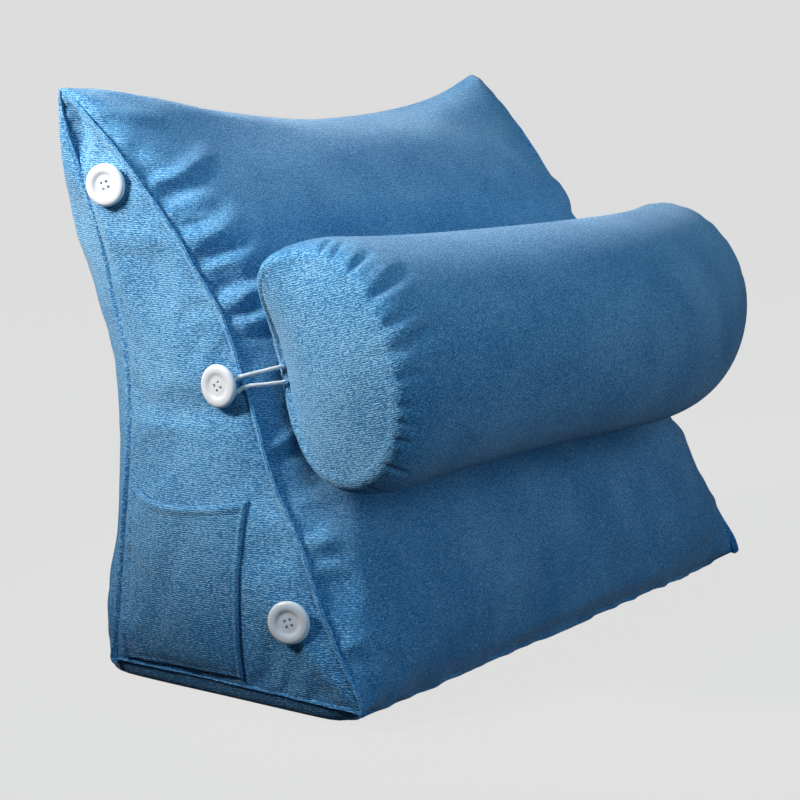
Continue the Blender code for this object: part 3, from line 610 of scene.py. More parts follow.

# %% [markdown]
# ## Darts at the bolster's ends
# The tube's edge is longer than the end panel's, so it is eased in with little darts. On the
# left end each large dart is listed one by one, round the end from its lowest point over its front,
# because they show most. Small ones, at random but from a fixed seed, fill in between.

# %% The darts
# Columns: place round the end in degrees, length along the tube, depth, width, slant
LEFT_DARTS = (
    (174, 0.014, 0.0022, 0.0026, 0.45), (150, 0.028, 0.0042, 0.0030, 0.45),
    (140, 0.026, 0.0042, 0.0030, 0.45), (125, 0.034, 0.0050, 0.0036, 0.42),
    (106, 0.052, 0.0060, 0.0046, 0.42), (91, 0.034, 0.0038, 0.0036, 0.35),
    (79, 0.052, 0.0058, 0.0046, 0.32), (66, 0.022, 0.0026, 0.0032, 0.25),
    (52, 0.014, 0.0028, 0.0026, 0.15), (43, 0.012, 0.0026, 0.0024, 0.10),
    (33, 0.014, 0.0028, 0.0026, 0.05), (14, 0.020, 0.0026, 0.0030, 0.00),
    (350, 0.022, 0.0024, 0.0032, -0.10), (322, 0.026, 0.0024, 0.0036, -0.20),
    (291, 0.024, 0.0022, 0.0036, -0.10), (262, 0.030, 0.0028, 0.0042, 0.00),
    (236, 0.022, 0.0020, 0.0034, 0.20), (200, 0.024, 0.0022, 0.0034, 0.35),
)
RIGHT_DART_COUNT = 19
SMALL_DARTS = 34


def random_darts(number, lengths, depths, widths, chance):
    darts = []
    for i in range(number):
        darts.append((
            360.0 * (i + chance.uniform(0.1, 0.9)) / number,
            chance.uniform(*lengths),
            chance.uniform(*depths),
            chance.uniform(*widths),
            chance.uniform(-0.2, 0.4),
        ))
    return darts


small = [random_darts(SMALL_DARTS, (0.004, 0.010), (0.0002, 0.0006), (0.0014, 0.0024), chance) for _ in (0, 1)]
end_darts = {
    -1: list(LEFT_DARTS) + small[0],
    1: random_darts(RIGHT_DART_COUNT, (0.014, 0.034), (0.0006, 0.0015), (0.0028, 0.0046), chance) + small[1],
}
print("darts:", {side: len(darts) for side, darts in end_darts.items()})


def dart_depth(side, angles, from_end, radius):
    """Depth of an end's darts round a ring at a distance from the end seam."""
    depth = np.zeros(len(angles))
    for place, length, deepest, width, slant in end_darts[side]:
        if from_end > length:
            continue
        share = from_end / length
        gap = (angles - radians(place) - slant * from_end / radius + pi) % (2 * pi) - pi
        swell = 0.16 + 0.84 * sin(pi * min(0.5, 0.9 * share))
        depth += deepest * swell * (1.0 - share**2) * trough(gap * radius / (width * (0.9 + 0.6 * share)))
    return depth


# %% Loft the tube
SEAM_CREASE = 0.0007
SEAM_CREASE_WIDTH = 0.0016
angles = np.arange(BOLSTER_SIDES) * 2 * pi / BOLSTER_SIDES
rest_surface = surface_of(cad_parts["wedge_cushion"])
SEARCH_HEIGHT, SEARCH_REACH = 0.30, 0.006


def slope_height(place):
    """How far the slope's cloth stands out of the slope's frame, at most, round a place."""
    above = place + SLOPE_OUT * (SEARCH_HEIGHT - (place - SLOPE_POINT).dot(SLOPE_OUT))
    highest = -SEARCH_HEIGHT
    for sideways, down in ((0, 0), (-1, 0), (1, 0), (0, -1), (0, 1)):
        start = above + Vector((sideways * SEARCH_REACH, 0, 0)) + SLOPE_DOWN * down * SEARCH_REACH
        hit = rest_surface.ray_cast(start, -SLOPE_OUT, SEARCH_HEIGHT + SEARCH_REACH)
        if hit[0] is not None:
            highest = max(highest, (hit[0] - SLOPE_POINT).dot(SLOPE_OUT))
    return highest


def bolster_ring(t, angles, creases=True):
    """One ring of the tube, as an array of places."""
    side = 1 if t > 0 else -1
    out, down, radius = [float(np.polyval(curve, t)) for curve in bolster_curves]
    centre = SLOPE_POINT + SLOPE_OUT * out + SLOPE_DOWN * down
    centre.x = (BOLSTER_LEFT + BOLSTER_RIGHT) / 2 + half_length * t
    from_end = half_length * (1.0 - abs(t))
    rolled = max(0.0, 1.0 - from_end / END_ROUND[side])
    radius *= 1.0 - (1.0 - END_SHARE[side]) * (1.0 - (1.0 - rolled**END_ROUND_POWER[side])**0.5)
    reach = np.full(len(angles), radius)
    fade = max(0.0, 1.0 - from_end / END_EDGE_LENGTH)**2
    pushed = np.zeros(len(angles))
    for edge_side, place, spread, along, away in END_EDGE:
        if edge_side == side:
            gap = (np.degrees(angles) - place + 180.0) % 360.0 - 180.0
            pushed += along * fade * np.exp(-(gap / spread)**2)
            reach += away * fade * np.exp(-(gap / spread)**2)
    if creases:
        reach -= dart_depth(side, angles, from_end, radius)
        reach -= SEAM_CREASE * np.exp(-(from_end / SEAM_CREASE_WIDTH)**2)
    down_part = reach * np.cos(angles)
    out_part = reach * np.sin(angles) * (1.0 - BOLSTER_FLATNESS)
    ring = np.array(centre) + np.outer(down_part, SLOPE_DOWN) + np.outer(out_part, SLOPE_OUT)
    ring[:, 0] += t * abs(t) * (BOLSTER_SHEAR * out_part + BOLSTER_TURN * down_part)
    ring[:, 0] += side * pushed
    for i, place in enumerate(ring):
        place = Vector(place)
        offset = (place - SLOPE_POINT).dot(SLOPE_OUT)
        if offset < 0.06:
            rest = slope_height(place) + REST_GAP
            if offset < rest:
                ring[i] = place + SLOPE_OUT * (rest - offset)
    return ring


tube = [bolster_ring(t, angles) for t in ring_places]
print("tube lofted")

# %% [markdown]
# ## The bolster's end panels
# An end panel is a disc that is sewn in a little too tight, so it domes. Its edge is dimpled by
# the same darts, and on the left the loop's pull leaves a shallow dent at its rear edge.
# Rings drawn in from the tube's own last ring keep the panel joined to the tube.

# %% Make the end panels and the cover
PANEL_RINGS = (0.985, 0.96, 0.925, 0.88, 0.82, 0.74, 0.65, 0.55, 0.44, 0.33, 0.22, 0.11)
PANEL_EDGE_RISE = 1.0
PANEL_UNEVEN_FADE = 3.0     # how soon the edge's unevenness dies out towards the middle
DIMPLE = 0.0014
DIMPLE_LENGTH = 0.010
# Columns: side, place across the panel as down and out shares, radius, depth
PANEL_DENTS = (
    (-1, 0.10, -0.62, 0.040, 0.0035), (-1, -0.45, -0.50, 0.045, 0.0030), (-1, -0.20, 0.10, 0.028, 0.0020),
    (-1, 0.55, 0.10, 0.030, 0.0018),
    (1, 0.05, -0.55, 0.030, 0.0045), (1, 0.30, 0.35, 0.040, 0.0020),
)


def end_panel(edge, side):
    middle = edge.mean(axis=0)
    rings = []
    smooth_edge = bolster_ring(float(side), angles, creases=False)
    across = (smooth_edge - middle)[:, 1:]
    tilt = np.linalg.lstsq(across, (smooth_edge - middle)[:, 0], rcond=None)[0]
    uneven = (smooth_edge - middle)[:, 0] - across @ tilt
    for share in PANEL_RINGS:
        blend = max(0.0, (share - 0.75) / 0.25)
        rim = smooth_edge + (edge - smooth_edge) * blend
        ring = middle + (rim - middle) * share
        ring[:, 0] -= uneven * (share - share**PANEL_UNEVEN_FADE)
        lift = END_CROWN[side] * (1.0 - share**2)**PANEL_EDGE_RISE
        from_edge = (1.0 - share) * float(bolster_curves[2][-1] if side > 0 else 0.09)
        waves = dart_depth(side, angles, 0.0, 0.085) * np.exp(-from_edge / DIMPLE_LENGTH)
        ring[:, 0] += side * (lift - DIMPLE * waves / 0.003)
        for dent_side, down, out, spread, depth in PANEL_DENTS:
            if dent_side == side:
                dent = middle + 0.085 * (down * np.array(SLOPE_DOWN) + out * np.array(SLOPE_OUT))
                gap = np.linalg.norm((ring - dent)[:, 1:], axis=1)
                ring[:, 0] -= side * depth * np.exp(-(gap / spread)**2)
        rings.append(ring)
    return rings, rings[-1].mean(axis=0)


def closed_loft(rings, first_pole, last_pole):
    count = len(rings[0])
    points = list(np.concatenate(rings)) + [first_pole, last_pole]
    faces = []
    for row in range(len(rings) - 1):
        for i in range(count):
            k = (i + 1) % count
            faces.append((row * count + i, row * count + k, (row + 1) * count + k, (row + 1) * count + i))
    last = (len(rings) - 1) * count
    for i in range(count):
        k = (i + 1) % count
        faces.append((k, i, len(points) - 2))
        faces.append((last + i, last + k, len(points) - 1))
    return np.array(points), faces


left_rings, left_pole = end_panel(tube[0], -1)
right_rings, right_pole = end_panel(tube[-1], 1)
bolster_points, bolster_faces = closed_loft(left_rings[::-1] + tube + right_rings, left_pole, right_pole)
bolster = mesh_object("bolster_cover", bolster_points, bolster_faces)
print("bolster:", len(bolster_points), "points")

# %% [markdown]
# ## Where the bolster presses into the slope
# The bolster and the slope can't share space, so each point of the slope looks straight out of
# the slope for the bolster, and moves in until it is just clear. The slope then shows a
# shallow bed where the bolster lies, as real filling would.

# %% Press the slope in under the bolster
bolster_surface = surface_of(bolster)
PRESS_SEARCH = 0.030
PRESS_GAP = 0.0005
pressed = read_points(wedge.data)
presses = 0
for i in np.flatnonzero(fine_slope):
    place = Vector(pressed[i])
    hit = bolster_surface.ray_cast(place - SLOPE_OUT * PRESS_SEARCH, SLOPE_OUT, 2 * PRESS_SEARCH)
    if hit[0] is None:
        continue
    room = (hit[0] - place).dot(SLOPE_OUT)
    if room < PRESS_GAP:
        pressed[i] = place - SLOPE_OUT * (PRESS_GAP - room)
        presses += 1
write_points(wedge.data, pressed)
wedge_surface = surface_of(wedge)
print("pressed points:", presses)

# %% [markdown]
# ## The pinched seams
# Each side seam is turned out and topstitched, so two layers of cloth stand up as a lip all the
# way round the side panel. A narrow profile with a rounded, grooved edge is swept along the
# outline. Hand-fed cloth never stands quite straight, so the lip's lean and height wander.

# %% Sweep the lips
LIP_REFINE = 6
EAR_LOW = 1.0               # how much lower the lip is at the tip of an ear, where it is folded over
EAR_LOW_LENGTH = 0.020
EAR_NARROW = {-1: 0.0, 1: 0.60}         # and how much narrower
EAR_SINK = {-1: 0.0, 1: 0.0025}
LIP_LOW_BASE = 0.72          # and how much lower it is where it faces the floor
LIP_SUNK = 0.0016
LIP_LEAN = 0.28             # radians
LIP_GROOVE = 0.0006
LIP_WAVES = ((0.031, 0.5), (0.083, 0.8), (0.197, 1.0))      # wave length in metres, share
lip_outline, lip_out, lip_foot = [finer(values, LIP_REFINE) for values in section_rows]
lip_out /= np.linalg.norm(lip_out, axis=1)[:, None]
lip_reach = seam_reach(lip_outline[:, 1]) - LIP_OVER * LIP_HEIGHT
lip_steps = np.linalg.norm(np.roll(lip_foot, -1, axis=0) - lip_foot, axis=1)
lip_along = np.concatenate([[0.0], np.cumsum(lip_steps)[:-1]])


def lip_profile():
    """Half thickness and height of the lip's edge, from one foot over the top to the other."""
    half = LIP_THICKNESS / 2
    profile = [(half * 1.25, -LIP_SUNK), (half * 1.05, 0.0), (half * 0.92, LIP_HEIGHT * 0.35)]
    profile.append((half * 0.98, LIP_HEIGHT * 0.65))
    for step in range(1, 6):
        angle = pi * step / 6
        profile.append((half * 0.5 + half * 0.5 * cos(angle), LIP_HEIGHT - half * 0.5 + half * 0.5 * sin(angle)))
    profile.append((0.0, LIP_HEIGHT - half * 0.5 - LIP_GROOVE))
    return profile + [(-across, up) for across, up in reversed(profile[:-1])]


def wander(along, length, seed):
    """A smooth wave between -1 and 1 that closes on itself after the whole length."""
    total = np.zeros(len(along))
    for i, (wave, share) in enumerate(LIP_WAVES):
        turns = max(1, round(length / wave))
        total += share * np.sin(2 * pi * turns * along / length + seed * (i + 1.7))
    return total / sum(share for _, share in LIP_WAVES)


def lip_axes(side):
    """Foot, up and across directions of the lip at each of its points."""
    lean = LIP_LEAN * wander(lip_along, float(lip_steps.sum()), 2.0 + side)
    up = np.stack([np.full(len(lip_out), side * LIP_OVER), LIP_OUT * lip_out[:, 0], LIP_OUT * lip_out[:, 1]], axis=1)
    across = np.stack([np.full(len(lip_out), -side * LIP_OUT), LIP_OVER * lip_out[:, 0],
                       LIP_OVER * lip_out[:, 1]], axis=1)
    turned_up = up * np.cos(lean)[:, None] + across * np.sin(lean)[:, None]
    turned_across = across * np.cos(lean)[:, None] - up * np.sin(lean)[:, None]
    feet = np.stack([side * lip_reach, lip_foot[:, 0], lip_foot[:, 1]], axis=1)
    return feet, turned_up, turned_across


from_ear = np.linalg.norm(lip_foot - lip_foot[int(np.argmax(lip_foot[:, 1]))], axis=1)
folded = EAR_LOW * np.exp(-(from_ear / EAR_LOW_LENGTH)**2)


def lip_heights(side):
    under = LIP_LOW_BASE * np.clip(-lip_out[:, 1], 0.0, 1.0)
    return 1.0 - folded - under + 0.12 * wander(lip_along, float(lip_steps.sum()), 5.0 + side)


def swept_ring(name, rows):
    """A closed ring of cloth from rows of points, one for each point of the profile."""
    count = len(rows[0])
    faces = []
    for row in range(len(rows)):
        for i in range(count):
            k = (i + 1) % count
            above = ((row + 1) % len(rows)) * count
            faces.append((row * count + i, row * count + k, above + k, above + i))
    return mesh_object(name, np.concatenate(rows), faces)


lips = {}
for side, name in ((-1, "seam_lip_left"), (1, "seam_lip_right")):
    feet, up, across = lip_axes(side)
    tall = lip_heights(side)[:, None]
    narrow = (1.0 - EAR_NARROW[side] * folded)[:, None]
    feet = feet - up * EAR_SINK[side] * folded[:, None]
    rows = []
    for wide, high in lip_profile():
        rows.append(feet + across * wide * narrow + up * high * (tall if high > 0 else 1.0))
    for row in rows:
        row[:, 2] = np.maximum(row[:, 2], 0.0004)
    lips[side] = swept_ring(name, rows)
print("lips swept,", len(lip_outline), "points long")

# %% [markdown]
# ## Stitches
# A stitch is a short, thick thread that dives into the cloth at both ends. One small capsule is
# bent into an arch and copied along each seam line, and a seam's stitches are joined into one
# mesh, because hundreds of separate objects would slow every later step.

# %% A row of stitches
STITCH_LENGTH = 0.0027
STITCH_PITCH = 0.0036
STITCH_RADIUS = 0.00028
STITCH_RISE = 0.00028
STITCH_SIDES = 5
STITCH_PARTS = 4


def stitch_row(name, line, outward, closed=True):
    """Stitches along a line of places, standing off it along the outward directions."""
    line = np.asarray(line)
    outward = np.asarray(outward)
    if closed:
        line = np.concatenate([line, line[:1]])
        outward = np.concatenate([outward, outward[:1]])
    gaps = np.linalg.norm(np.diff(line, axis=0), axis=1)
    along = np.concatenate([[0.0], np.cumsum(gaps)])
    number = max(1, int(along[-1] / STITCH_PITCH))
    points, faces = [], []
    for stitch in range(number):
        start = along[-1] * stitch / number
        base = len(points)
        for part in range(STITCH_PARTS + 1):
            share = part / STITCH_PARTS
            at = start + STITCH_LENGTH * share
            centre = np.array([np.interp(at, along, line[:, k]) for k in range(3)])
            out = np.array([np.interp(at, along, outward[:, k]) for k in range(3)])
            ahead = np.array([np.interp(at + STITCH_RADIUS, along, line[:, k]) for k in range(3)]) - centre
            out /= np.linalg.norm(out)
            ahead /= max(np.linalg.norm(ahead), 1e-9)
            beside = np.cross(ahead, out)
            arch = STITCH_RISE * sin(pi * share) - STITCH_RADIUS * 0.8
            thick = STITCH_RADIUS * (0.45 + 0.55 * sin(pi * min(max(share, 0.08), 0.92)))
            for i in range(STITCH_SIDES):
                angle = 2 * pi * i / STITCH_SIDES
                points.append(centre + out * (arch + thick * sin(angle)) + beside * thick * cos(angle))
        for part in range(STITCH_PARTS):
            for i in range(STITCH_SIDES):
                k = (i + 1) % STITCH_SIDES
                here, there = base + part * STITCH_SIDES, base + (part + 1) * STITCH_SIDES
                faces.append((here + i, here + k, there + k, there + i))
        faces.append(tuple(base + i for i in reversed(range(STITCH_SIDES))))
        last = base + STITCH_PARTS * STITCH_SIDES
        faces.append(tuple(last + i for i in range(STITCH_SIDES)))
    return mesh_object(name, points, faces)


STITCH_HEIGHT = 0.0016
seam_stitches = {}
for side, side_name in ((-1, "left"), (1, "right")):
    feet, up, across = lip_axes(side)
    tall = lip_heights(side)[:, None]
    for face, face_name in ((-1, "outer"), (1, "inner")):
        line = feet + up * STITCH_HEIGHT * tall + across * face * LIP_THICKNESS * 0.46
        seam_stitches[side, face] = stitch_row(f"lip_stitches_{side_name}_{face_name}", line, across * face)
print("stitch rows on the lips:", len(seam_stitches))

# %% [markdown]
# ## The side pocket
# The pocket is a single patch with a folded hem at its mouth. It is sewn down its two sides and
# its foot, and stands a little off the panel, so that there is room inside. Its surface is
# worked out from the panel behind it: a ray finds the panel, and the patch lies that far out
# plus its own fullness. Both faces of the cloth are made, because the mouth shows its edge.

# %% Make the pocket
POCKET_THICKNESS = 0.0020
POCKET_FULLNESS = 0.0085
POCKET_ACROSS_POWER, POCKET_UP_POWER = 0.85, 0.6
POCKET_SAG = 0.006
# Columns: place across the pocket at its foot, lean towards its mouth, width, depth of a soft hollow
POCKET_SAGS = ((0.20, 0.45, 0.10, 0.0022), (0.95, -0.42, 0.08, 0.0016), (0.45, -0.25, 0.07, 0.0010))
POCKET_CORNERS = np.array(((0.1040, 0.0185), (-0.0130, 0.0215), (0.0985, 0.1510), (-0.0130, 0.1540)))
POCKET_COLUMNS, POCKET_ROWS = 72, 76
HEM_DEPTH = 0.0080
HEM_THICKNESS = 0.0012
FOLD_BEAD = 0.0021
FOLD_BEAD_WIDTH = 0.0023
POCKET_STITCH_INSET = 0.0042
STITCH_DENT = 0.0011
STITCH_DENT_WIDTH = 0.0011


def pocket_place(across, up):
    """Place on the side panel, from the pocket's corners: foot left and right, mouth left and right."""
    low = POCKET_CORNERS[0] * (1 - across) + POCKET_CORNERS[1] * across
    high = POCKET_CORNERS[2] * (1 - across) + POCKET_CORNERS[3] * across
    y, z = low * (1 - up) + high * up
    return float(y), float(z - POCKET_SAG * sin(pi * across) * up)


def panel_reach(surface, side, y, z):
    hit = surface.ray_cast(Vector((side * 0.5, y, z)), Vector((-side, 0.0, 0.0)), 0.5)
    return abs(hit[0].x)


pocket_wide = float(np.linalg.norm(POCKET_CORNERS[0] - POCKET_CORNERS[1]))
pocket_tall = float(np.linalg.norm(POCKET_CORNERS[2] - POCKET_CORNERS[0]))


def pocket_face(across, up):
    """Inner and outer distance of the pocket's cloth from the cushion's middle."""
    y, z = pocket_place(across, up)
    room = POCKET_FULLNESS * sin(pi / 2 * up)**POCKET_UP_POWER * abs(sin(pi * across))**POCKET_ACROSS_POWER
    sag = sum(depth * np.exp(-((across - middle - lean * up) / wide)**2) for middle, lean, wide, depth in POCKET_SAGS)
    room -= sag * sin(pi * up)**0.7 * sin(pi * across)
    inner = panel_reach(wedge_surface, -1, y, z) + PRESS_GAP + room
    from_side = min(across, 1 - across) * pocket_wide
    from_mouth, from_foot = (1 - up) * pocket_tall, up * pocket_tall
    thick = POCKET_THICKNESS + HEM_THICKNESS / (1 + np.exp((from_mouth - HEM_DEPTH) / 0.0004))
    thick += FOLD_BEAD * np.exp(-(from_side / FOLD_BEAD_WIDTH)**2)
    for gap in (from_side - POCKET_STITCH_INSET, from_foot - POCKET_STITCH_INSET, from_mouth - HEM_DEPTH * 0.88):
        thick -= STITCH_DENT * np.exp(-(gap / STITCH_DENT_WIDTH)**2)
    edge = min(from_side, from_mouth, from_foot)
    thick *= 0.55 + 0.45 * min(1.0, edge / 0.0012)**0.5
    return y, z, inner, inner + thick


pocket_points = []
for layer in (2, 3):
    for row in range(POCKET_ROWS + 1):
        for column in range(POCKET_COLUMNS + 1):
            measured = pocket_face(column / POCKET_COLUMNS, row / POCKET_ROWS)
            pocket_points.append((-measured[layer], measured[0], measured[1]))
wide = POCKET_COLUMNS + 1
layer_size = wide * (POCKET_ROWS + 1)
pocket_faces = []
for layer in (0, layer_size):
    for row in range(POCKET_ROWS):
        for column in range(POCKET_COLUMNS):
            i = layer + row * wide + column
            pocket_faces.append((i, i + 1, i + 1 + wide, i + wide))
rim = [column for column in range(POCKET_COLUMNS)]
rim += [row * wide + POCKET_COLUMNS for row in range(POCKET_ROWS)]
rim += [POCKET_ROWS * wide + column for column in range(POCKET_COLUMNS, 0, -1)]
rim += [row * wide for row in range(POCKET_ROWS, 0, -1)]
for here, there in zip(rim, rim[1:] + rim[:1]):
    pocket_faces.append((here, there, there + layer_size, here + layer_size))
pocket = mesh_object("pocket_patch", pocket_points, pocket_faces)
print(f"pocket {pocket_wide * 1000:.0f} by {pocket_tall * 1000:.0f} mm")


# %% Stitch the pocket
def pocket_line(steps, place_of):
    """A line on the pocket's outer face, and its outward directions."""
    line = []
    for step in range(steps + 1):
        y, z, _, outer = pocket_face(*place_of(step / steps))
        line.append((-outer, y, z))
    return line, [(-1.0, 0.0, 0.0)] * len(line)


side_inset = POCKET_STITCH_INSET / pocket_wide
foot_inset = POCKET_STITCH_INSET / pocket_tall
hem_inset = 1.0 - HEM_DEPTH * 0.88 / pocket_tall
pocket_seams = {
    "pocket_stitches_rear": lambda share: (side_inset, foot_inset + (0.99 - foot_inset) * share),
    "pocket_stitches_front": lambda share: (1 - side_inset, foot_inset + (0.99 - foot_inset) * share),
    "pocket_stitches_foot": lambda share: (side_inset + (1 - 2 * side_inset) * share, foot_inset),
    "pocket_stitches_hem": lambda share: (side_inset + (1 - 2 * side_inset) * share, hem_inset),
}
pocket_stitches = [stitch_row(name, *pocket_line(60, place_of), closed=False)
                   for name, place_of in pocket_seams.items()]
print("pocket seams:", len(pocket_stitches))

# %% [markdown]
# ## Buttons
# The buttons are thick white plastic with a wide rounded rim, a dish and four holes. A turned
# profile gives the rim, because a real button is turned or moulded the same way, and four
# cutters make the holes. All six share one mesh. Each stands off the cloth on a shank of
# wound thread, whose turns are ridges of the turned shape.

# %% Turn the button
BUTTON_RADIUS = 0.0162
BUTTON_THICKNESS = 0.0050
BUTTON_HOLES = 4
BUTTON_HOLE = 0.0011
BUTTON_HOLE_RING = 0.0031
BUTTON_HOLE_TURN = radians(-8)
BUTTON_SIDES = 96
# Columns: radius and height over the middle of the thickness, in millimetres
BUTTON_PROFILE = (
    (0.0, 1.42), (2.0, 1.40), (4.4, 1.33), (6.6, 1.22), (7.6, 1.30), (8.4, 1.56), (9.2, 1.96), (10.0, 2.26),
    (11.0, 2.44), (12.2, 2.50), (13.4, 2.40), (14.5, 2.10), (15.4, 1.56), (15.95, 0.85), (16.2, 0.0),
    (16.0, -0.85), (15.5, -1.60), (14.6, -2.15), (13.2, -2.45), (11.0, -2.50), (0.0, -2.50),
)


def turned(name, profile, sides):
    """A solid of revolution round Z from radii and heights, both ends on the axis."""
    shell = bmesh.new()
    points = [shell.verts.new((radius, 0.0, height)) for radius, height in profile]
    for here, there in zip(points[:-1], points[1:]):
        shell.edges.new((here, there))
    bmesh.ops.spin(shell, geom=shell.verts[:] + shell.edges[:], cent=(0, 0, 0), axis=(0, 0, 1),
                   angle=2 * pi, steps=sides, use_merge=True)
    bmesh.ops.remove_doubles(shell, verts=shell.verts, dist=0.000002)
    bmesh.ops.recalc_face_normals(shell, faces=shell.faces)
    mesh = bpy.data.meshes.new(name)
    shell.to_mesh(mesh)
    shell.free()
    mesh.shade_smooth()
    return mesh


blank = bpy.data.objects.new("button_blank", turned("button_blank", [
    (radius / 1000, height / 1000) for radius, height in BUTTON_PROFILE], BUTTON_SIDES))
bpy.context.scene.collection.objects.link(blank)
cutters = []
for i in range(BUTTON_HOLES):
    angle = 2 * pi * i / BUTTON_HOLES + BUTTON_HOLE_TURN
    place = (BUTTON_HOLE_RING * cos(angle), BUTTON_HOLE_RING * sin(angle), 0.0)
    bpy.ops.mesh.primitive_cylinder_add(vertices=20, radius=BUTTON_HOLE, depth=3 * BUTTON_THICKNESS, location=place)
    cutters.append(bpy.context.object)
    cut = blank.modifiers.new(f"hole {i}", "BOOLEAN")
    cut.operation = "DIFFERENCE"
    cut.object = cutters[-1]
bpy.context.view_layer.update()
button_mesh = bpy.data.meshes.new_from_object(blank.evaluated_get(bpy.context.evaluated_depsgraph_get()))
button_mesh.set_sharp_from_angle(angle=radians(50))
for item in cutters + [blank]:
    bpy.data.objects.remove(item, do_unlink=True)
print("button faces:", len(button_mesh.polygons))

# %% Place the buttons and their shanks
SHANK_RADIUS = 0.0023
SHANK_TURNS = 6
GAP = 0.0003
# Columns: name, y, z, shank length, turn of its face towards the slope in degrees
BUTTONS = (
    ("top", 0.1240, 0.3780, 0.0026, 16.0),
    ("middle", 0.0172, 0.2352, 0.0046, 0.0),
    ("bottom", -0.0590, 0.0732, 0.0026, 17.0),
)


def box_centre(node):
    low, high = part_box(node)
    return (low + high) / 2


def shank_profile(length):
    profile = [(0.0, -length / 2)]
    steps = SHANK_TURNS * 6
    for step in range(steps + 1):
        ridge = 0.00022 * abs(sin(pi * SHANK_TURNS * step / steps))
        profile.append((SHANK_RADIUS - 0.00025 + ridge, -length / 2 + length * step / steps))
    return profile + [(0.0, length / 2)]


buttons, shanks = {}, {}
for side, side_name in ((-1, "left"), (1, "right")):
    for name, y, z, shank, turn in BUTTONS:
        facing = Vector((side * cos(radians(turn)), -sin(radians(turn)), 0.0))
        lean = Vector((0, 0, 1)).rotation_difference(facing).to_matrix().to_4x4()
        item = bpy.data.objects.new(f"turned_button_{side_name}_{name}", button_mesh)
        item.matrix_world = Matrix.Translation(box_centre(f"button_{side_name}_{name}")) @ lean
        bpy.context.scene.collection.objects.link(item)
        buttons[side_name, name] = item
        stem = bpy.data.objects.new(f"wound_shank_{side_name}_{name}", turned(f"shank_{name}", shank_profile(shank), 24))
        stem.matrix_world = Matrix.Translation(box_centre(f"thread_{side_name}_{name}")) @ lean
        bpy.context.scene.collection.objects.link(stem)
        shanks[side_name, name] = stem
print("buttons:", len(buttons), "shanks:", len(shanks))

# %% [markdown]
# ## Elastic loops
# Each end of the bolster is held by a thin white elastic, doubled into a loop. It leaves the
# end seam, runs over the wedge's lip and hooks round the middle button's shank. The route is a
# smooth curve through few points, pushed off the cloth wherever it would touch.

# %% Route the loops
LOOP_RADIUS = 0.0016
LOOP_SPREAD = 0.0050
LOOP_SEATS = {1: 31, -1: 32}
LOOP_SEAT_SIDES = 44
LOOP_CLEARANCE = 0.0022
LOOP_OVER_SPREAD = 0.75
LOOP_OVER_RISE = 0.003
LOOP_ASIDE = 0.55
LOOP_ASIDE_SPREAD = 1.05
LOOP_STEPS = 10
SOFT_GAP = 0.0006
seat_angles = np.arange(LOOP_SEAT_SIDES) * 2 * pi / LOOP_SEAT_SIDES


def off_the_cloth(place):
    """A point of a loop's route, moved out to where the elastic clears the wedge."""
    surface, facing, _, _ = rest_surface.find_nearest(place)
    height = (place - surface).dot(facing)
    if height < LOOP_CLEARANCE:
        return place + facing * (LOOP_CLEARANCE - height)
    return place


def loop_strand(side, sign):
    """Half of a loop, from its seat on the bolster over the lip to the button's shank."""
    _, y, z, shank, _ = BUTTONS[1]
    clear = LOOP_RADIUS + SOFT_GAP
    hook = SHANK_RADIUS + clear
    reach = panel_reach(rest_surface, side, y, z) + GAP + shank / 2
    seat = Vector(bolster_ring(float(side), seat_angles, creases=False)[LOOP_SEATS[sign]])
    start = off_the_cloth(seat + Vector((side * (clear + SOFT_GAP), 0.0, 0.0)))
    height = z + sign * LOOP_OVER_SPREAD * LOOP_SPREAD + LOOP_OVER_RISE
    lip_y = float(np.interp(height, outline[:EAR, 1], outline[:EAR, 0]))
    over = Vector((side * float(seam_reach(np.array([height]))[0]), lip_y, height))
    over += Vector((side * LIP_OVER, *(SLOPE_OUT.yz * LIP_OUT))) * clear
    aside = Vector((side * reach, y + LOOP_ASIDE * (over.y - y), z + sign * hook * LOOP_ASIDE_SPREAD))
    return [start, start.lerp(over, 0.5), over, aside, Vector((side * reach, y, z + sign * hook))]


def elastic_loop(side, name):
    _, y, z, _, _ = BUTTONS[1]
    upper, lower = loop_strand(side, 1), loop_strand(side, -1)
    hook = upper[-1].z - z
    bend = [Vector((upper[-1].x, y + hook * sin(pi * i / 4), z + hook * cos(pi * i / 4))) for i in (1, 2, 3)]
    route = upper + bend + list(reversed(lower))
    inward = Vector((-side * 0.004, -0.001, 0.0))
    route = [route[0] + inward] + route + [route[-1] + inward]
    route = [route[0]] + route + [route[-1]]
    path = []
    for before, start, end, after in zip(route[:-3], route[1:-2], route[2:-1], route[3:]):
        for step in range(LOOP_STEPS):
            place = catmull_rom(before, start, end, after, step / LOOP_STEPS)
            path.append(off_the_cloth(place))
    path.append(route[-1])
    curve = bpy.data.curves.new(name, "CURVE")
    curve.dimensions = "3D"
    curve.bevel_depth = LOOP_RADIUS
    curve.bevel_resolution = 4
    curve.use_fill_caps = True
    spline = curve.splines.new("POLY")
    spline.points.add(len(path) - 1)
    for point, place in zip(spline.points, path):
        point.co = (*place, 1.0)
    item = bpy.data.objects.new(name, curve)
    bpy.context.scene.collection.objects.link(item)
    return item


loops = {side: elastic_loop(side, name) for side, name in ((-1, "elastic_left"), (1, "elastic_right"))}
print("loops:", len(loops))

# %% [markdown]
# ## Chenille
# Chenille is woven from furry yarn. From close by it shows fine rows, broken into specks where
# the tufts part, and the pile shines a little where it is seen edge on. The material builds
# that from three parts: a wave for the rows, a stretched noise for the specks, and a broad,
# faint noise where the pile has been brushed one way or the other. The same height drives both
# the colour, light on the tufts and dark between them, and the bump.


# %% Small helpers for nodes
def node(tree, kind, **values):
    made = tree.nodes.new(kind)
    for name, value in values.items():
        setattr(made, name, value)
    return made


def put(item, name, value):
    item.inputs[name].default_value = value
    return item


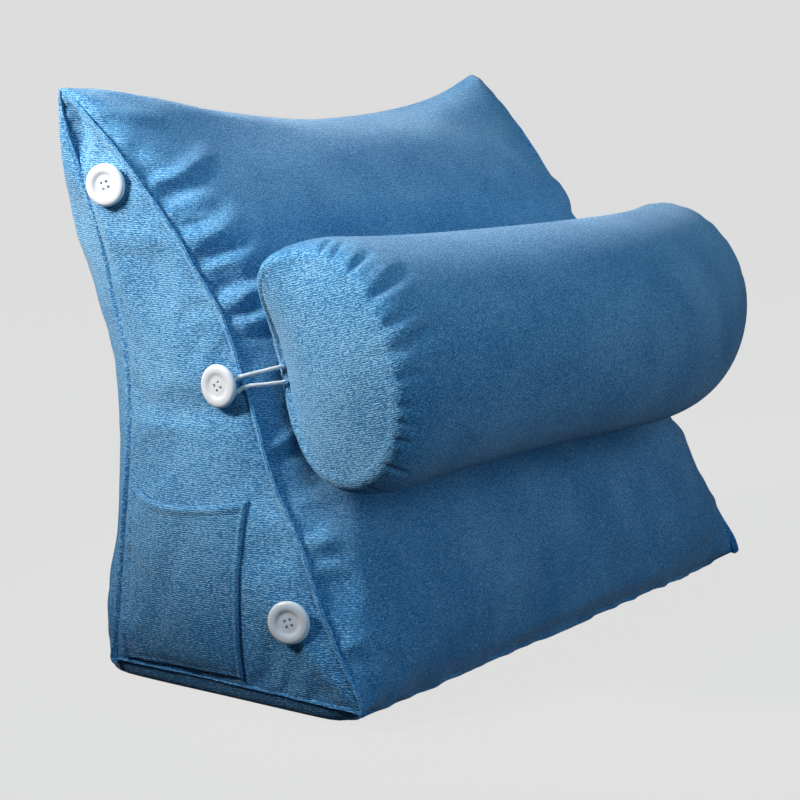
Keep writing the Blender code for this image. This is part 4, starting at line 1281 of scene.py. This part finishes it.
def new_material(name):
    material = bpy.data.materials.new(name)
    material.use_nodes = True
    return material, material.node_tree, material.node_tree.nodes["Principled BSDF"]


# %% The chenille material
ROW_PITCH = 0.0016
WAVE_PER_UNIT = 0.314       # a wave texture's own length at scale 1
DASH_SIZE = 0.0011
TUFT_SIZE = 0.0009
TUFT_COLOURS = ((0.016, 0.118, 0.290), (0.056, 0.258, 0.515), (0.235, 0.505, 0.730))
PAINTED_SHADE_HEIGHT = 0.16           # painted shade: below this height the colour darkens towards the floor
PAINTED_SHADE_DEPTH = -0.34


def chenille(name, row_share, row_turn, bump=0.7, light=1.0, side_rows=0.85):
    """Blue chenille. row_share and side_rows say how much the rows show where it faces sideways; side_rows also
    scales the painted shade near the floor, and light above 1 lifts every colour as a painted highlight.
    """
    material, tree, shader = new_material(name)
    link = tree.links.new
    place = node(tree, "ShaderNodeTexCoord")
    turned_place = node(tree, "ShaderNodeMapping")
    put(turned_place, "Rotation", row_turn)
    link(place.outputs["Object"], turned_place.inputs["Vector"])
    rows = node(tree, "ShaderNodeTexWave", wave_type="BANDS", bands_direction="Z", wave_profile="SIN")
    put(rows, "Scale", WAVE_PER_UNIT / ROW_PITCH)
    put(rows, "Distortion", 5.0)
    put(rows, "Detail", 2.0)
    put(rows, "Detail Scale", 1.6)
    link(turned_place.outputs["Vector"], rows.inputs["Vector"])
    stretch = node(tree, "ShaderNodeMapping")
    put(stretch, "Scale", (0.48, 0.48, 1.0))
    link(turned_place.outputs["Vector"], stretch.inputs["Vector"])
    dashes = node(tree, "ShaderNodeTexNoise")
    put(dashes, "Scale", 1.0 / DASH_SIZE)
    put(dashes, "Detail", 1.5)
    link(stretch.outputs["Vector"], dashes.inputs["Vector"])
    tufts = node(tree, "ShaderNodeTexNoise")
    put(tufts, "Scale", 1.0 / TUFT_SIZE)
    put(tufts, "Detail", 2.0)
    link(place.outputs["Object"], tufts.inputs["Vector"])
    facing = node(tree, "ShaderNodeSeparateXYZ")
    link(place.outputs["Normal"], facing.inputs["Vector"])
    sideways = node(tree, "ShaderNodeMath", operation="ABSOLUTE")
    link(facing.outputs["X"], sideways.inputs[0])
    on_side = node(tree, "ShaderNodeMapRange")
    put(on_side, "From Min", 0.35)
    put(on_side, "From Max", 0.75)
    put(on_side, "To Min", 0.30)
    put(on_side, "To Max", side_rows)
    link(sideways.outputs["Value"], on_side.inputs["Value"])
    woven = node(tree, "ShaderNodeMix", data_type="FLOAT")
    woven.inputs["Factor"].default_value = row_share
    link(dashes.outputs["Fac"], woven.inputs["A"])
    link(rows.outputs["Fac"], woven.inputs["B"])
    height = node(tree, "ShaderNodeMix", data_type="FLOAT")
    link(on_side.outputs["Result"], height.inputs["Factor"])
    link(tufts.outputs["Fac"], height.inputs["A"])
    link(woven.outputs["Result"], height.inputs["B"])
    crisp = node(tree, "ShaderNodeMapRange")
    put(crisp, "From Min", 0.33)
    put(crisp, "From Max", 0.67)
    link(height.outputs["Result"], crisp.inputs["Value"])
    brushed = node(tree, "ShaderNodeTexNoise")
    put(brushed, "Scale", 16.0)
    put(brushed, "Detail", 4.0)
    link(place.outputs["Object"], brushed.inputs["Vector"])
    shade = node(tree, "ShaderNodeMath", operation="MULTIPLY_ADD")
    shade.inputs[1].default_value = 0.5
    link(brushed.outputs["Fac"], shade.inputs[0])
    link(crisp.outputs["Result"], shade.inputs[2])
    parts = node(tree, "ShaderNodeSeparateXYZ")
    link(place.outputs["Object"], parts.inputs["Vector"])
    # Painted shade: below the height set above, the colour darkens towards the floor, most where the cloth faces
    # sideways, as on the side panels.
    painted_low_shade = node(tree, "ShaderNodeMapRange", interpolation_type="SMOOTHSTEP")
    put(painted_low_shade, "From Min", 0.0)
    put(painted_low_shade, "From Max", PAINTED_SHADE_HEIGHT)
    put(painted_low_shade, "To Min", PAINTED_SHADE_DEPTH)
    put(painted_low_shade, "To Max", 0.0)
    link(parts.outputs["Z"], painted_low_shade.inputs["Value"])
    with_painted_low_shade = node(tree, "ShaderNodeMath", operation="MULTIPLY_ADD")
    link(painted_low_shade.outputs["Result"], with_painted_low_shade.inputs[0])
    link(on_side.outputs["Result"], with_painted_low_shade.inputs[1])
    link(shade.outputs["Value"], with_painted_low_shade.inputs[2])
    ramp = node(tree, "ShaderNodeValToRGB")
    ramp.color_ramp.elements[0].position = 0.15
    colours = [(*[min(1.0, part * light) for part in colour], 1.0) for colour in TUFT_COLOURS]
    ramp.color_ramp.elements[0].color = colours[0]
    ramp.color_ramp.elements[1].position = 1.0
    ramp.color_ramp.elements[1].color = colours[2]
    middle = ramp.color_ramp.elements.new(0.72)
    middle.color = colours[1]
    link(with_painted_low_shade.outputs["Value"], ramp.inputs["Fac"])
    link(ramp.outputs["Color"], shader.inputs["Base Color"])
    relief = node(tree, "ShaderNodeBump")
    put(relief, "Strength", bump)
    put(relief, "Distance", 0.0006)
    link(crisp.outputs["Result"], relief.inputs["Height"])
    link(relief.outputs["Normal"], shader.inputs["Normal"])
    put(shader, "Roughness", 0.85)
    put(shader, "Specular IOR Level", 0.15)
    put(shader, "Sheen Weight", 0.35)
    put(shader, "Sheen Roughness", 0.35)
    put(shader, "Sheen Tint", (0.70, 0.86, 1.0, 1.0))
    return material


wedge_cloth = chenille("blue chenille", 0.24, (0.0, 0.0, 0.0))
bolster_cloth = chenille("blue chenille of the bolster", 0.20, (0.25, 0.15, 0.0), bump=0.8, side_rows=0.75)
pocket_cloth = chenille("blue chenille of the pocket", 0.26, (0.02, 0.0, 0.0))
# The seam lips' colours are made 15 % lighter: a painted highlight for the light the raised cord catches.
lip_cloth = chenille("blue chenille of the seams", 0.10, (0.0, 0.0, 0.0), light=1.15)
print("chenille rows every", ROW_PITCH * 1000, "mm")

# %% [markdown]
# ## Thread, plastic and elastic
# The stitches are a darker polyester thread with a slight shine. The buttons are white plastic
# with a thin clear gloss and a faint unevenness. The elastic is a braid: close rings of thread
# that run round it, so it gets a fine bump and a warmer white.


# %% Plain finishes
def speckled(name, colour, other, roughness, scale, bump, coat=0.0, sheen=0.0):
    """A finish of two near colours in a fine noise, with a bump of the same noise."""
    material, tree, shader = new_material(name)
    link = tree.links.new
    place = node(tree, "ShaderNodeTexCoord")
    noise = node(tree, "ShaderNodeTexNoise")
    put(noise, "Scale", scale)
    put(noise, "Detail", 3.0)
    link(place.outputs["Object"], noise.inputs["Vector"])
    ramp = node(tree, "ShaderNodeValToRGB")
    ramp.color_ramp.elements[0].position = 0.35
    ramp.color_ramp.elements[0].color = (*colour, 1.0)
    ramp.color_ramp.elements[1].position = 0.65
    ramp.color_ramp.elements[1].color = (*other, 1.0)
    link(noise.outputs["Fac"], ramp.inputs["Fac"])
    link(ramp.outputs["Color"], shader.inputs["Base Color"])
    relief = node(tree, "ShaderNodeBump")
    put(relief, "Strength", bump)
    put(relief, "Distance", 0.0002)
    link(noise.outputs["Fac"], relief.inputs["Height"])
    link(relief.outputs["Normal"], shader.inputs["Normal"])
    put(shader, "Roughness", roughness)
    put(shader, "Coat Weight", coat)
    put(shader, "Coat Roughness", 0.12)
    put(shader, "Sheen Weight", sheen)
    return material


stitch_thread = speckled("blue sewing thread", (0.030, 0.120, 0.270), (0.060, 0.190, 0.380), 0.55, 2500.0, 0.4, sheen=0.2)
shank_thread = speckled("white sewing thread", (0.70, 0.71, 0.72), (0.82, 0.82, 0.81), 0.6, 3000.0, 0.4, sheen=0.2)
button_plastic = speckled("white button plastic", (0.70, 0.79, 0.84), (0.73, 0.82, 0.87), 0.34, 180.0, 0.05, coat=0.4)
elastic_braid = speckled("white elastic braid", (0.66, 0.72, 0.74), (0.78, 0.85, 0.87), 0.7, 1600.0, 0.8, sheen=0.3)
print("plain finishes made")


# %% Dress the pieces
def dress(item, material):
    """Gives a piece its finish and its body."""
    if not item.data.materials:
        item.data.materials.append(material)
    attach(item, "root")


dress(wedge, wedge_cloth)
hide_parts("wedge_cushion")
dress(bolster, bolster_cloth)
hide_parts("bolster")
dress(pocket, pocket_cloth)
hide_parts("pocket")
for item in lips.values():
    dress(item, lip_cloth)
for item in list(seam_stitches.values()) + pocket_stitches:
    dress(item, stitch_thread)
for (side_name, name), item in buttons.items():
    dress(item, button_plastic)
    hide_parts(f"button_{side_name}_{name}")
for (side_name, name), item in shanks.items():
    dress(item, shank_thread)
    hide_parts(f"thread_{side_name}_{name}")
for side, node_name in ((-1, "loop_left"), (1, "loop_right")):
    dress(loops[side], elastic_braid)
    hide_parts(node_name)

# %% [markdown]
# ## Floor and light
# The picture has no horizon, so the floor rises into a wall behind in one sweep. The key light
# stands high on the left and a little behind. It lights the side panel and the top of the
# bolster, and only grazes the slope, which is what makes the folds show. A weak, broad fill
# from the front opens the shadows.

# %% The floor
FLOOR_REACH = 14.0
SWEEP_START = 5.0
SWEEP_RADIUS = 3.0
FLOOR_DROP = 0.0005


def floor_strip():
    """A floor that turns up into a wall, far side first, in the camera's own direction."""
    away = Vector((-back_to_camera.x, -back_to_camera.y, 0.0)).normalized()
    beside = away.cross(Vector((0, 0, 1)))
    profile = [(-FLOOR_REACH, 0.0), (SWEEP_START, 0.0)]
    for step in range(1, 25):
        angle = pi / 2 * step / 24
        profile.append((SWEEP_START + SWEEP_RADIUS * sin(angle), SWEEP_RADIUS * (1 - cos(angle))))
    profile.append((SWEEP_START + SWEEP_RADIUS, 9.0))
    points, faces = [], []
    for ahead, height in profile:
        for sideways in (-FLOOR_REACH, FLOOR_REACH):
            points.append(away * ahead + beside * sideways + Vector((0, 0, height - FLOOR_DROP)))
    for row in range(len(profile) - 1):
        faces.append((2 * row, 2 * row + 1, 2 * row + 3, 2 * row + 2))
    return mesh_object("floor", points, faces)


floor = floor_strip()
floor_paint, floor_tree, floor_shader = new_material("pale floor")
put(floor_shader, "Base Color", (0.05, 0.05, 0.05, 1.0))
put(floor_shader, "Roughness", 0.9)
put(floor_shader, "Specular IOR Level", 0.1)
put(floor_shader, "Emission Color", (1.0, 1.0, 1.0, 1.0))
put(floor_shader, "Emission Strength", 0.716)
floor.data.materials.append(floor_paint)
floor.visible_diffuse = False
floor.visible_glossy = False
floor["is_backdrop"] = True


# %% The lights
def area_light(name, direction, distance, size, power, colour, target=(0.0, 0.0, 0.22), spread=180.0):
    """A square light that looks at a target from a direction and a distance."""
    lamp = bpy.data.lights.new(name, "AREA")
    lamp.size = size
    lamp.energy = power
    lamp.color = colour
    lamp.spread = radians(spread)
    item = bpy.data.objects.new(name, lamp)
    direction = Vector(direction).normalized()
    item.location = Vector(target) + direction * distance
    item.rotation_mode = "QUATERNION"
    item.rotation_quaternion = (-direction).to_track_quat("-Z", "Y")
    bpy.context.scene.collection.objects.link(item)
    return item


KEY_PLACE = Vector((-1.06, 0.61, 0.98))
KEY_TARGET = Vector((-0.22, 0.08, 0.60))
key_way = KEY_PLACE - KEY_TARGET
area_light("key", key_way, key_way.length, 0.30, 5.3, (1.0, 0.87, 0.82), target=KEY_TARGET, spread=64.0)
area_light("fill", (-0.30, -0.88, 0.34), 3.0, 2.2, 33.0, (0.52, 0.77, 1.0))
area_light("side fill", (0.72, -0.60, 0.35), 3.0, 2.0, 10.0, (1.0, 0.60, 0.40))
area_light("top", (-0.1, 0.1, 1.0), 2.5, 1.6, 19.0, (0.40, 0.80, 1.0))
world = bpy.data.worlds.new("studio")
bpy.context.scene.world = world
world.use_nodes = True
sky = node(world.node_tree, "ShaderNodeTexCoord")
sky_parts = node(world.node_tree, "ShaderNodeSeparateXYZ")
sky_ramp = node(world.node_tree, "ShaderNodeValToRGB")
sky_ramp.color_ramp.elements[0].position = 0.40
sky_ramp.color_ramp.elements[0].color = (0.02, 0.03, 0.045, 1.0)
sky_ramp.color_ramp.elements[1].position = 0.80
sky_ramp.color_ramp.elements[1].color = (0.62, 0.72, 0.80, 1.0)
half_up = node(world.node_tree, "ShaderNodeMath", operation="MULTIPLY_ADD")
half_up.inputs[1].default_value = 0.5
half_up.inputs[2].default_value = 0.5
world.node_tree.links.new(sky.outputs["Generated"], sky_parts.inputs["Vector"])
world.node_tree.links.new(sky_parts.outputs["Z"], half_up.inputs[0])
world.node_tree.links.new(half_up.outputs["Value"], sky_ramp.inputs["Fac"])
world.node_tree.links.new(sky_ramp.outputs["Color"], world.node_tree.nodes["Background"].inputs["Color"])
world.node_tree.nodes["Background"].inputs["Strength"].default_value = 0.08
bpy.context.scene.view_settings.view_transform = "Standard"
print("lights placed")

# %% [markdown]
# ## The dressed size
# The dressed cushion has to stay the size of its solids, so its box is printed.

# %% Print the dressed size
low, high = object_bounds()
print("dressed", [round(v, 4) for v in (*low, *high)])
